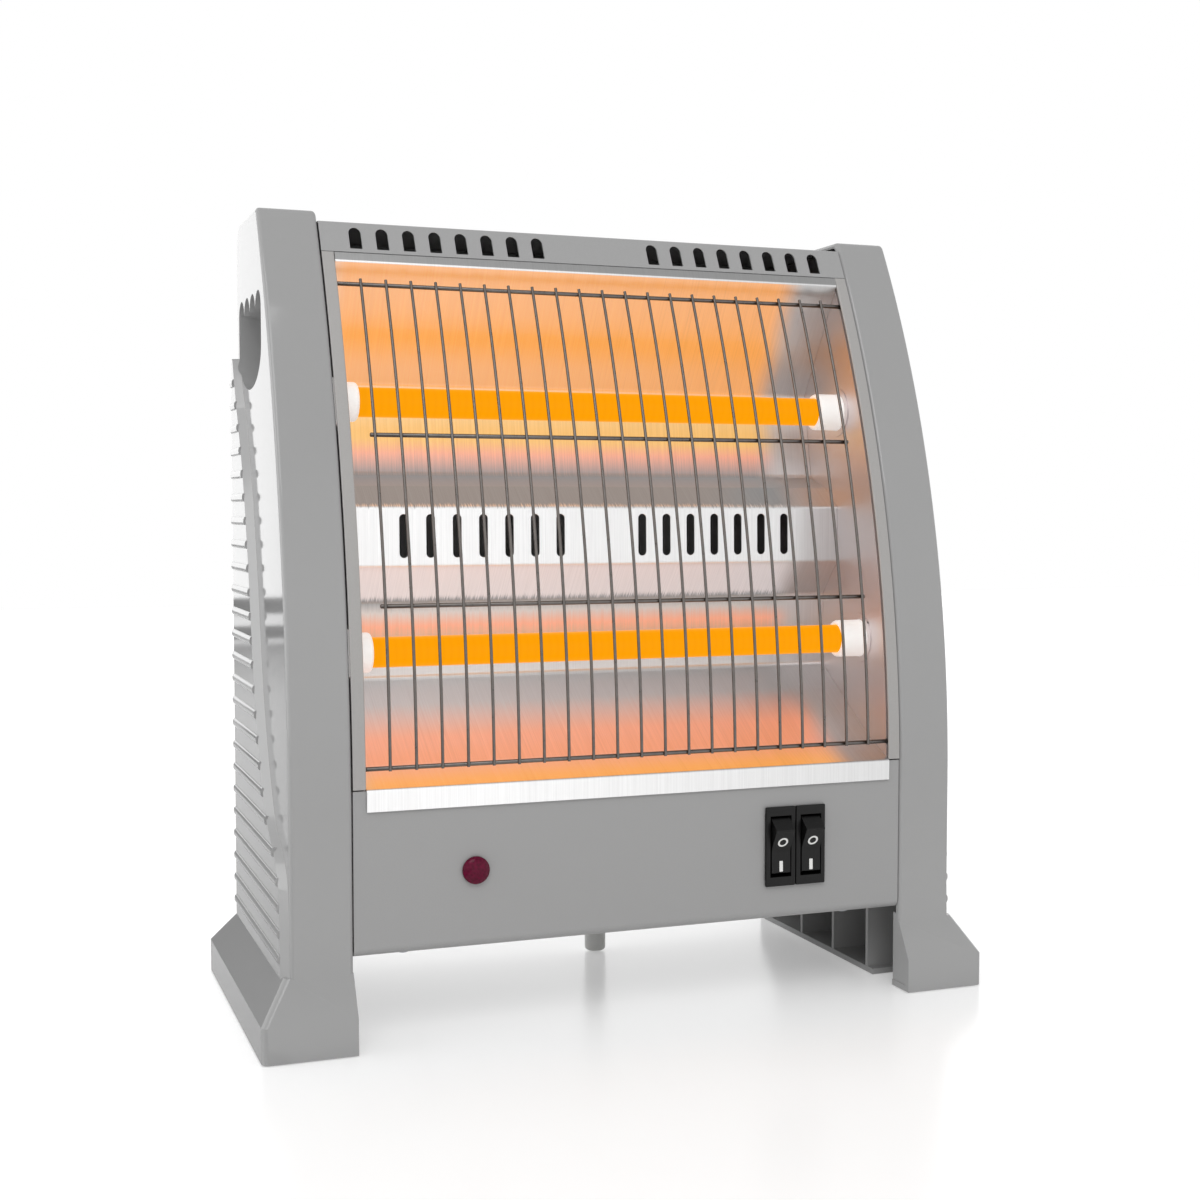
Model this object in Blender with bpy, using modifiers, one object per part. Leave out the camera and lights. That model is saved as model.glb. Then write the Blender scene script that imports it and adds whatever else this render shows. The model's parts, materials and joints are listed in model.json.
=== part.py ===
"""Free-standing quartz heater with a bowed wire guard, two quartz tubes and a folded reflector.

Lengths are in metres, X runs to the right, Y to the back and Z up.
The origin is on the floor, under the middle of the feet.
"""

import math

import bmesh
import bpy
from mathutils import Matrix, Vector

# Body and side covers
BAY_WIDTH = 0.2450
COVER_WIDTH = 0.0250
COVER_WALL = 0.0025
HEIGHT = 0.3375
FOOT_LENGTH = 0.1480
FOOT_FLARE = 0.0125
FOOT_BAND_HEIGHT = 0.0142
FOOT_TOP_Z = 0.0303
FOOT_TOP_FLARE = 0.0023
FOOT_CORNER = 0.0025
FRONT_SETBACK = 0.0087
REAR_SETBACK = 0.0180
REAR_LEAN = 0.0130
BOW_START_Z = 0.0920
BOW_RADIUS = 0.5100
BROW_RADIUS = 0.0038
CREST_RADIUS = 0.0110
BOW_STEPS = 9
FIT = 0.0003

# Inside of the feet and the fixing bosses of the covers
FOOT_RIB = 0.0020
FOOT_RIB_FIRST = 0.0377
FOOT_RIB_PITCH = 0.0325
FOOT_RIBS = 3
FOOT_RETURN = 0.0140
FOOT_NOTCH = 0.0175
FOOT_NOTCH_DEPTH = 0.0130
BOSS_RADIUS = 0.0040
BOSS_TOP_DROP = 0.0140
BOSS_TOP_FROM_BACK = 0.0213
BOSS_MIDDLE_Z = 0.2150
BOSS_MIDDLE_FROM_BACK = 0.0156
BOSS_LOW_Z = 0.0620
BOSS_LOW_DEPTH = 0.0600
BOSS_LOW_FROM_BACK = 0.0296

# Ribbed panel on the outer wall: the curve of its front edge up to its tip, as depth and height
PANEL_RISE = 0.0030
PANEL_BEVEL = 0.0050
PANEL_TIP_RADIUS = 0.0028
PANEL_EDGE = (
    (0.0094, 0.0280),
    (0.0110, 0.0600),
    (0.0180, 0.0735),
    (0.0390, 0.0875),
    (0.0540, 0.1100),
    (0.0670, 0.1415),
    (0.0780, 0.1860),
    (0.0910, 0.2270),
    (0.1050, 0.2590),
    (0.1185, 0.2790),
)
PANEL_TIP_DROP = 0.0585
PANEL_TIP_FROM_BACK = 0.0083
BEAD_TOP_DROP = 0.0695
BEAD_LOW_Z = 0.0364
BEAD_HEIGHT = 0.0036
BEAD_RISE = 0.0009
BEADS = 24

# Hand grip recess with four finger scallops, and its cup behind the wall
GRIP_SCALLOPS = 4
GRIP_FROM_FRONT = 0.0114
GRIP_FROM_BACK = 0.0053
GRIP_SCALLOP_DROP = 0.0418
GRIP_SIDE_DROP = 0.0565
GRIP_BOTTOM_DROP = 0.0740
GRIP_DEPTH = 0.0120
GRIP_CUP_CORNER = 0.0060
GRIP_CUP_FOOT = 0.0180

# Sheet metal, and how far cutters pass through a sheet
PANEL_SHEET = 0.0010
CUT_REACH = 0.0040
END_SHEET = 0.0008
REFLECTOR_SHEET = 0.0006
TRIM_WIDTH = 0.0057
TRIM_FLANGE = 0.0095
WINDOW_BOTTOM_Z = 0.1023
DRAWN_WINDOW = 0.2132
LIP_HEIGHT = 0.0038
TOP_FRONT_HEIGHT = 0.0137
TOP_PANEL_DROP = 0.0045
TOP_PANEL_BEND = 0.0020
REAR_RECESS = 0.0020
REAR_FLANGE = 0.0110
LOWER_PANEL_DEPTH = 0.0094
LOWER_PANEL_BOTTOM_Z = 0.0360
LOWER_PANEL_BEND = 0.0035
LOWER_PANEL_FLANGE = 0.0260
LIP_STRIP_Z = 0.0936
LIP_STRIP_DEPTH = 0.0083

# Reflector folds as depth, height and bend radius
REFLECTOR_FOLDS = (
    (0.0763, 0.2900, 0.003),
    (0.0913, 0.2670, 0.003),
    (0.0845, 0.2276, 0.003),
    (0.0700, 0.2225, 0.002),
    (0.0578, 0.2135, 0.002),
    (0.0573, 0.1887, 0.002),
    (0.0710, 0.1730, 0.003),
    (0.0713, 0.1397, 0.003),
    (0.0245, 0.1095, 0.003),
)
BAND_SLOTS = 7
BAND_SLOT_FIRST = 0.0192
BAND_SLOT_FROM_END = 0.0276
BAND_SLOT_WIDTH = 0.0038
BAND_SLOT_Z = (0.1920, 0.2105)
OUTLETS = 8
OUTLET_FIRST = 0.0270
OUTLET_FROM_END = 0.0149
OUTLET_WIDTH = 0.0052
OUTLET_DROP = (0.0118, 0.0025)

# Back panel and base plate
BACK_SLOTS = 8
BACK_SLOT_PITCH = 0.0240
BACK_SLOT_WIDTH = 0.0045
BACK_SLOT_ROWS = ((0.0800, 0.1150), (0.2450, 0.2900))
BASE_SLOTS = 7
BASE_SLOT_PITCH = 0.0260
BASE_SLOT_WIDTH = 0.0050
BASE_SLOT_DEPTH = (0.0480, 0.0900)

# Heating elements, as distance behind the bow and height of each tube
TUBE_PLACES = {"upper": (0.0233, 0.2572), "lower": (0.0242, 0.1542)}
TUBE_RADIUS = 0.00625
TUBE_WALL = 0.00125
CAP_RADIUS = 0.00825
CAP_REACH = 0.0123
CAP_BORE_DEPTH = 0.0080
CAP_FLANGE_RADIUS = 0.0100
CAP_FLANGE = 0.0022
CAP_NECK_RADIUS = 0.0045
CAP_NECK = 0.0030
STUD_RADIUS = 0.0016
STUD_LENGTH = 0.0175
STUD_NUT_RADIUS = 0.0034
STUD_NUT = 0.0025
COIL_RADIUS = 0.0030
COIL_WIRE_RADIUS = 0.00055
COIL_TURNS = 9
COIL_TAIL = 0.0140
COIL_POINTS = 6

# Wire guard
GUARD_UPRIGHTS = 21
GUARD_FROM_END = 0.0098
GUARD_UPRIGHT_RADIUS = 0.00065
GUARD_CROSS_RADIUS = 0.00090
GUARD_CROSS_Z = (0.1103, 0.1741, 0.2426, 0.3057)
GUARD_OVERHANG = 0.0025
GUARD_WELD = 0.0003
GUARD_SETBACK = 0.0004
GUARD_STEPS = 6

# Rocker switches, indicator and tip-over switch
SWITCH_FROM_SIDE = 0.05895
SWITCH_PITCH = 0.01435
SWITCH_Z = 0.06765
SWITCH_BEZEL_HEIGHT = 0.0345
SWITCH_BEZEL = 0.0015
SWITCH_BODY_WIDTH = 0.0130
SWITCH_BODY_HEIGHT = 0.0284
SWITCH_BODY_DEPTH = 0.0190
SWITCH_BLADE = (0.0008, 0.0060, 0.0080)
SWITCH_BLADE_Z = 0.0075
ROCKER_WIDTH = 0.0098
ROCKER_SWEEP = 0.0124
ROCKER_PIVOT_DEPTH = 0.0050
ROCKER_THROW_DEG = 24.0
ROCKER_RIDGE_RADIUS = 0.0114
ROCKER_RIDGE_DEG = 49.5
ROCKER_VALLEY = 0.0052
TRUNNION_RADIUS = 0.0015
TRUNNION = 0.0008
NEON_FROM_SIDE = 0.0501
NEON_Z = 0.0675
NEON_RADIUS = 0.00565
NEON_STEM_RADIUS = 0.0042
NEON_STEM = 0.0160
NEON_RIM = 0.0008
NEON_DOME = 0.0030
CLIP_LENGTH = 0.0035
CLIP_RIM = 0.0011
CLIP_WALL = 0.0008
TIP_X = 0.0185
TIP_FROM_BACK = 0.0135
PLUNGER_RADIUS = 0.0050
PLUNGER_COLLAR_RADIUS = 0.0064
PLUNGER_COLLAR = 0.0020
PLUNGER_TRAVEL = 0.0060
PLUNGER_FLOOR_GAP = 0.0003
PLUNGER_NOSE = 0.0012
TIP_BODY = (0.0240, 0.0162, 0.0250)
SPRING_RADIUS = 0.0042
SPRING_WIRE_RADIUS = 0.0005
SPRING_TURNS = 4

# Small parts inside and on the back
BLOCK_SIZE = (0.0380, 0.0180, 0.0140)
BLOCK_PLACE = (-0.0450, 0.0700)
CUTOUT_RADIUS = 0.0075
CUTOUT_FLANGE_RADIUS = 0.0092
CUTOUT_Z = 0.2012
CUTOUT_HEIGHT = 0.0085
BUSH_X = -0.0800
BUSH_Z = 0.0600
BUSH_RADIUS = 0.0080
BUSH_NECK_RADIUS = 0.0057
BUSH_BORE_RADIUS = 0.0036
BUSH_HEAD = 0.0016
BUSH_SNAP = 0.0030
SCREW_RADIUS = 0.0014
SCREW_HEAD_RADIUS = 0.0030
SCREW_HEAD = 0.0018
SCREW_LENGTH = 0.0100
SCREW_FROM_SIDE = 0.0225
BASE_SCREW_DEPTH = 0.0200

# Places that follow from the sizes above
FRONT_Y = FRONT_SETBACK - FOOT_LENGTH / 2
REAR_Y = FOOT_LENGTH / 2 - REAR_SETBACK
INNER_X = BAY_WIDTH / 2
OUTER_X = INNER_X + COVER_WIDTH
FOOT_X = OUTER_X + FOOT_FLARE
SHEET_X = INNER_X - FIT
SWITCH_X = INNER_X - SWITCH_FROM_SIDE
NEON_X = NEON_FROM_SIDE - INNER_X
SCREW_X = INNER_X - SCREW_FROM_SIDE
END_X = INNER_X - TRIM_WIDTH
END_OUTER_X = END_X + END_SHEET
TOP_PANEL_Z = HEIGHT - TOP_PANEL_DROP
LIP_TOP_Z = TOP_PANEL_Z - TOP_FRONT_HEIGHT
WINDOW_TOP_Z = LIP_TOP_Z - LIP_HEIGHT
BAND_SLOT_PITCH = (END_X - BAND_SLOT_FROM_END - BAND_SLOT_FIRST) / (BAND_SLOTS - 1)
OUTLET_PITCH = (SHEET_X - OUTLET_FROM_END - OUTLET_FIRST) / (OUTLETS - 1)
GUARD_PITCH = 2 * (END_X - GUARD_FROM_END) / (GUARD_UPRIGHTS - 1)
TIP_Y = REAR_Y - TIP_FROM_BACK
BASE_TOP_Z = LOWER_PANEL_BOTTOM_Z + PANEL_SHEET + FIT + PANEL_SHEET
BACK_INSET = REAR_RECESS + PANEL_SHEET + FIT
SWITCH_FRONT = LOWER_PANEL_DEPTH - FIT - SWITCH_BEZEL
CAP_MOUTH_X = END_X - CAP_REACH
BACK_SCREW_TOP_Z = TOP_PANEL_Z - REAR_FLANGE / 2
BACK_SCREW_LOW_Z = BASE_TOP_Z - PANEL_SHEET + REAR_FLANGE * 0.6


def depth(distance):
    """The Y of what lies this far behind the front of the feet."""
    return distance - FOOT_LENGTH / 2


def bow_y(z, inset=0.0):
    """The Y of the bowed front at a height, drawn in by inset."""
    rise = max(z - BOW_START_Z, 0.0)
    return FRONT_Y + BOW_RADIUS - math.sqrt((BOW_RADIUS - inset) ** 2 - rise**2)


def rear_y(z, inset=0.0):
    """The Y of the leaning back at a height, drawn in by inset."""
    return REAR_Y - REAR_LEAN * (z - FOOT_TOP_Z) - inset


def level(z):
    """A height above the window's lower edge, drawn for DRAWN_WINDOW, at the window's real height."""
    stretch = (WINDOW_TOP_Z - WINDOW_BOTTOM_Z) / DRAWN_WINDOW
    return WINDOW_BOTTOM_Z + (z - WINDOW_BOTTOM_Z) * stretch


def rounded(corners, closed=True, steps=3):
    """The outline through corners given as (a, b, radius), with an arc at each corner that has a radius."""
    path = []
    for i, (a, b, radius) in enumerate(corners):
        here = Vector((a, b))
        at_end = not closed and i in (0, len(corners) - 1)
        if radius == 0 or at_end:
            path.append(here)
            continue
        back = (Vector(corners[i - 1][:2]) - here).normalized()
        ahead = (Vector(corners[(i + 1) % len(corners)][:2]) - here).normalized()
        half = back.angle(ahead) / 2
        centre = here + (back + ahead).normalized() * (radius / math.sin(half))
        start = here + back * (radius / math.tan(half)) - centre
        turn = math.pi - 2 * half
        if back.x * ahead.y - back.y * ahead.x > 0:
            turn = -turn
        for step in range(steps + 1):
            angle = turn * step / steps
            cos, sin = math.cos(angle), math.sin(angle)
            path.append(centre + Vector((start.x * cos - start.y * sin, start.x * sin + start.y * cos)))
    return path


def arc(centre, radius, start_deg, end_deg, steps):
    """Points on an arc, both ends included."""
    angles = [math.radians(start_deg + (end_deg - start_deg) * i / steps) for i in range(steps + 1)]
    return [Vector((centre[0] + radius * math.cos(a), centre[1] + radius * math.sin(a))) for a in angles]


def circle(centre, radius, steps=12):
    return arc(centre, radius, 0, 360 - 360 / steps, steps - 1)


def obround(x, low, high, width):
    """An upright slot with round ends."""
    r = width / 2
    return arc((x, high - r), r, 0, 180, 4) + arc((x, low + r), r, 180, 360, 4)


def rectangle(left, right, low, high):
    return [Vector((left, low)), Vector((right, low)), Vector((right, high)), Vector((left, high))]


def smooth(points, steps=2):
    """A Catmull-Rom curve through the points."""
    ends = [Vector(point) for point in (points[0], *points, points[-1])]
    path = []
    for a, b, c, d in zip(ends, ends[1:], ends[2:], ends[3:]):
        for i in range(steps):
            t = i / steps
            bend = (2 * a - 5 * b + 4 * c - d) * t**2
            twist = (3 * b - a - 3 * c + d) * t**3
            path.append((2 * b + (c - a) * t + bend + twist) / 2)
    return [*path, ends[-1]]


def section(front, rear, low, high, brow=0.0, crest=0.0):
    """A side view outline between the bowed front and the leaning back, each drawn in by its own distance."""
    corners = [(bow_y(low, front), low, 0)]
    start = max(low, BOW_START_Z)
    for step in range(BOW_STEPS):
        z = start + (high - start) * step / BOW_STEPS
        if z > low:
            corners.append((bow_y(z, front), z, 0))
    corners.append((bow_y(high, front), high, brow))
    corners.append((rear_y(high, rear), high, crest))
    corners.append((rear_y(low, rear), low, 0))
    return rounded(corners)


def bow_band(front, rear, low, high):
    """A side view outline of a band that follows the bow between two insets."""
    heights = [low + (high - low) * step / BOW_STEPS for step in range(BOW_STEPS + 1)]
    outer = [Vector((bow_y(z, front), z)) for z in heights]
    return outer + [Vector((bow_y(z, rear), z)) for z in reversed(heights)]


def collection(name):
    made = bpy.data.collections.new(name)
    bpy.context.scene.collection.children.link(made)
    return made


def material(name, colour, roughness, metallic=0.0):
    made = bpy.data.materials.new(name)
    made.use_nodes = True
    shader = made.node_tree.nodes["Principled BSDF"]
    shader.inputs["Base Color"].default_value = (*colour, 1)
    shader.inputs["Roughness"].default_value = roughness
    shader.inputs["Metallic"].default_value = metallic
    return made


def add(name, data, matrix=None):
    made = bpy.data.objects.new(name, data)
    made.matrix_world = matrix or Matrix()
    parts.objects.link(made)
    return made


def helper(obj):
    """Makes an object a cutter or a joined shape, which isn't shown by itself."""
    parts.objects.unlink(obj)
    cutters.objects.link(obj)
    obj.hide_render = True
    obj.display_type = "WIRE"
    return obj


def finish(obj, finish_material):
    """Gives a part its material, and rounds the shading of what isn't a sharp edge."""
    obj.data.materials.clear()
    obj.data.materials.append(finish_material)
    if obj.data.polygons:
        obj.data.shade_smooth()
        obj.data.set_sharp_from_angle(angle=math.radians(35))
    return obj


def baked(obj, name=None, matrix=None):
    """A mesh object of what another object evaluates to, with its seams welded, in place of that object."""
    name = name or obj.name
    bpy.context.view_layer.update()
    graph = bpy.context.evaluated_depsgraph_get()
    mesh = bpy.data.meshes.new_from_object(obj.evaluated_get(graph))
    mesh.transform(obj.matrix_world)
    bm = bmesh.new()
    bm.from_mesh(mesh)
    bmesh.ops.remove_doubles(bm, verts=bm.verts, dist=1e-6)
    bm.to_mesh(mesh)
    bm.free()
    bpy.data.objects.remove(obj)
    mesh.name = name
    if matrix:
        mesh.transform(matrix.inverted())
    return add(name, mesh, matrix)


def plate(name, outlines, axis, low, high):
    """Flat outlines, with any holes, given thickness along an axis from low to high."""
    curve = bpy.data.curves.new(name, "CURVE")
    curve.dimensions = "2D"
    curve.fill_mode = "BOTH"
    curve.extrude = (high - low) / 2
    for outline in outlines:
        spline = curve.splines.new("POLY")
        spline.points.add(len(outline) - 1)
        for point, (a, b) in zip(spline.points, outline):
            point.co = (a, b, 0, 1)
        spline.use_cyclic_u = True
    turns = {
        "X": Matrix(((0, 0, 1), (1, 0, 0), (0, 1, 0))),
        "Y": Matrix(((1, 0, 0), (0, 0, -1), (0, 1, 0))),
        "Z": Matrix.Identity(3),
    }
    middle = Vector([(low + high) / 2 * (letter == axis) for letter in "XYZ"])
    return baked(add(name, curve, Matrix.Translation(middle) @ turns[axis].to_4x4()))


def loft(name, rings):
    """A closed skin over rings that have the same number of points."""
    bm = bmesh.new()
    loops = [[bm.verts.new(point) for point in ring] for ring in rings]
    for first, second in zip(loops, loops[1:]):
        for i, vert in enumerate(first):
            j = (i + 1) % len(first)
            bm.faces.new((vert, first[j], second[j], second[i]))
    bm.faces.new(reversed(loops[0]))
    bm.faces.new(loops[-1])
    bmesh.ops.recalc_face_normals(bm, faces=bm.faces)
    mesh = bpy.data.meshes.new(name)
    bm.to_mesh(mesh)
    bm.free()
    return add(name, mesh)


def block(name, low, high):
    """A box between two corners."""
    low, high = Vector(low), Vector(high)
    bm = bmesh.new()
    bmesh.ops.create_cube(bm, size=1)
    bmesh.ops.scale(bm, vec=high - low, verts=bm.verts)
    bmesh.ops.translate(bm, vec=(low + high) / 2, verts=bm.verts)
    mesh = bpy.data.meshes.new(name)
    bm.to_mesh(mesh)
    bm.free()
    return add(name, mesh)


def rod(name, start, end, radius, sides=12):
    """A plain cylinder between two points."""
    start, end = Vector(start), Vector(end)
    along = end - start
    bm = bmesh.new()
    bmesh.ops.create_cone(
        bm, cap_ends=True, segments=sides, radius1=radius, radius2=radius, depth=along.length
    )
    mesh = bpy.data.meshes.new(name)
    bm.to_mesh(mesh)
    bm.free()
    turn = along.to_track_quat("Z", "Y").to_matrix().to_4x4()
    return baked(add(name, mesh, Matrix.Translation((start + end) / 2) @ turn))


def turned(name, profile, place, along, sides=16, ring=False):
    """A turned shape: (radius, height) points from the top down its outer side, set along a direction."""
    mesh = bpy.data.meshes.new(name)
    edges = [(i, i + 1) for i in range(len(profile) - 1)]
    if ring:
        edges.append((len(profile) - 1, 0))
    mesh.from_pydata([(radius, 0, height) for radius, height in profile], edges, [])
    turn = Vector(along).to_track_quat("Z", "Y").to_matrix().to_4x4()
    made = add(name, mesh, Matrix.Translation(place) @ turn)
    screw = made.modifiers.new("Turn", "SCREW")
    screw.steps = sides
    screw.render_steps = sides
    screw.use_merge_vertices = True
    screw.merge_threshold = 1e-5
    screw.use_smooth_shade = True
    return made


def wire(name, paths, radius, resolution=1):
    """Round wires along lists of points, as one mesh object."""
    curve = bpy.data.curves.new(name, "CURVE")
    curve.dimensions = "3D"
    curve.bevel_depth = radius
    curve.bevel_resolution = resolution
    curve.use_fill_caps = True
    for path in paths:
        spline = curve.splines.new("POLY")
        spline.points.add(len(path) - 1)
        for point, co in zip(spline.points, path):
            point.co = (*co, 1)
    return baked(add(name, curve))


def bent_sheet(name, path, thickness, half_width):
    """Sheet metal folded along a side view path. Its thickness lies to the left of the way the path runs."""
    bm = bmesh.new()
    left = [bm.verts.new((-half_width, y, z)) for y, z in path]
    right = [bm.verts.new((half_width, y, z)) for y, z in path]
    for i in range(len(path) - 1):
        bm.faces.new((left[i], left[i + 1], right[i + 1], right[i]))
    mesh = bpy.data.meshes.new(name)
    bm.to_mesh(mesh)
    bm.free()
    made = add(name, mesh)
    solid = made.modifiers.new("Sheet", "SOLIDIFY")
    solid.thickness = thickness
    solid.offset = -1
    solid.use_even_offset = True
    return made


def boolean(target, other, operation):
    helper(other)
    modifier = target.modifiers.new(other.name, "BOOLEAN")
    modifier.operation = operation
    modifier.object = other
    modifier.solver = "EXACT"


def cut(target, *others):
    for other in others:
        boolean(target, other, "DIFFERENCE")


def fuse(target, *others):
    for other in others:
        boolean(target, other, "UNION")


def gathered(name, objects):
    """One object of several separate meshes, for a single Boolean."""
    bm = bmesh.new()
    for obj in objects:
        bm.from_mesh(obj.data)
        bpy.data.objects.remove(obj)
    mesh = bpy.data.meshes.new(name)
    bm.to_mesh(mesh)
    bm.free()
    return add(name, mesh)


def mirrored(obj, name):
    """The left-hand twin of a finished right-hand part."""
    bpy.context.view_layer.update()
    graph = bpy.context.evaluated_depsgraph_get()
    mesh = bpy.data.meshes.new_from_object(obj.evaluated_get(graph))
    mesh.transform(Matrix.Diagonal((-1, 1, 1, 1)) @ obj.matrix_world)
    mesh.flip_normals()
    mesh.name = name
    return add(name, mesh)


def cover_skin(name, inset, low, stations):
    """The tall part of a cover: one side view outline at each X, each with its own extra inset."""
    rings = []
    for x, more in stations:
        drawn = inset + more
        outline = section(drawn, drawn, low, HEIGHT - drawn, BROW_RADIUS - drawn / 2, CREST_RADIUS - drawn)
        rings.append([(x, y, z) for y, z in outline])
    return loft(name, rings)


def foot_skin(name, inset, inner_x, floor_z, top_z):
    """The flared foot: a straight band, then slopes in to the cover."""
    top_x = OUTER_X + FOOT_TOP_FLARE - inset
    rings = []
    for z, out, front, rear in (
        (floor_z, FOOT_X - inset, depth(inset), depth(FOOT_LENGTH - inset)),
        (FOOT_BAND_HEIGHT, FOOT_X - inset, depth(inset), depth(FOOT_LENGTH - inset)),
        (top_z, top_x, FRONT_Y + FIT + inset, REAR_Y - FIT - inset),
    ):
        outline = rounded(
            [(inner_x, front, 0), (out, front, FOOT_CORNER), (out, rear, FOOT_CORNER), (inner_x, rear, 0)]
        )
        rings.append([(x, y, z) for x, y in outline])
    return loft(name, rings)


def panel_edge():
    """The raised panel's front edge, stretched from the foot's front to its tip before the back."""
    (first_y, first_z), (last_y, last_z) = PANEL_EDGE[0], PANEL_EDGE[-1]
    tip_z = HEIGHT - PANEL_TIP_DROP
    along = (rear_y(tip_z, PANEL_TIP_FROM_BACK) - depth(first_y)) / (last_y - first_y)
    upward = (tip_z - first_z) / (last_z - first_z)
    return [(depth(first_y) + (y - first_y) * along, first_z + (z - first_z) * upward) for y, z in PANEL_EDGE]


def panel_outline(shift, inset=0.0):
    """The raised panel's side view outline, with its front edge moved back by shift."""
    *lower, (tip_y, tip_z) = panel_edge()
    edge = smooth(lower)
    tip_z -= 5 * inset
    radius = PANEL_TIP_RADIUS / (1 + inset / COVER_WALL)
    rear_edge = COVER_WALL / 2 + inset
    points = [(y + shift + inset, z, 0) for y, z in edge]
    points.append((tip_y + shift / 3 - 2 * inset, tip_z, radius))
    points.append((rear_y(tip_z, rear_edge), tip_z, radius))
    points.append((rear_y(edge[0].y, rear_edge), edge[0].y, 0))
    return rounded(points)


def panel_edge_y(z):
    """The Y of the raised panel's front edge at a height."""
    edge = panel_edge()
    for (y0, z0), (y1, z1) in zip(edge, edge[1:]):
        if z0 <= z <= z1:
            return y0 + (y1 - y0) * (z - z0) / (z1 - z0)
    return edge[-1][0]


def grip_outline():
    """Four finger scallops on top, straight sides and a round bottom."""
    scallop_z = HEIGHT - GRIP_SCALLOP_DROP
    side_z = HEIGHT - GRIP_SIDE_DROP
    left = bow_y(scallop_z) + GRIP_FROM_FRONT
    right = rear_y(scallop_z, GRIP_FROM_BACK)
    radius = (right - left) / (2 * GRIP_SCALLOPS)
    path = []
    for i in reversed(range(GRIP_SCALLOPS)):
        centre = (left + radius * (2 * i + 1), scallop_z)
        path += arc(centre, radius, 0, 180, 6)[:-1]
    path.append(Vector((left, scallop_z)))
    middle, half = (left + right) / 2, (right - left) / 2
    for point in arc((0, 0), 1, 180, 360, 12):
        path.append(Vector((middle + half * point.x, side_z + (GRIP_BOTTOM_DROP - GRIP_SIDE_DROP) * point.y)))
    return path


def boss_ends():
    """Where the bosses of a cover stand, as Y and Z: at the top, in the middle and two low down."""
    top_z = TOP_PANEL_Z - BOSS_TOP_DROP
    return (
        (rear_y(top_z, BOSS_TOP_FROM_BACK), top_z),
        (rear_y(BOSS_MIDDLE_Z, BOSS_MIDDLE_FROM_BACK), BOSS_MIDDLE_Z),
        (depth(BOSS_LOW_DEPTH), BOSS_LOW_Z),
        (rear_y(BOSS_LOW_Z, BOSS_LOW_FROM_BACK), BOSS_LOW_Z),
    )


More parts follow.
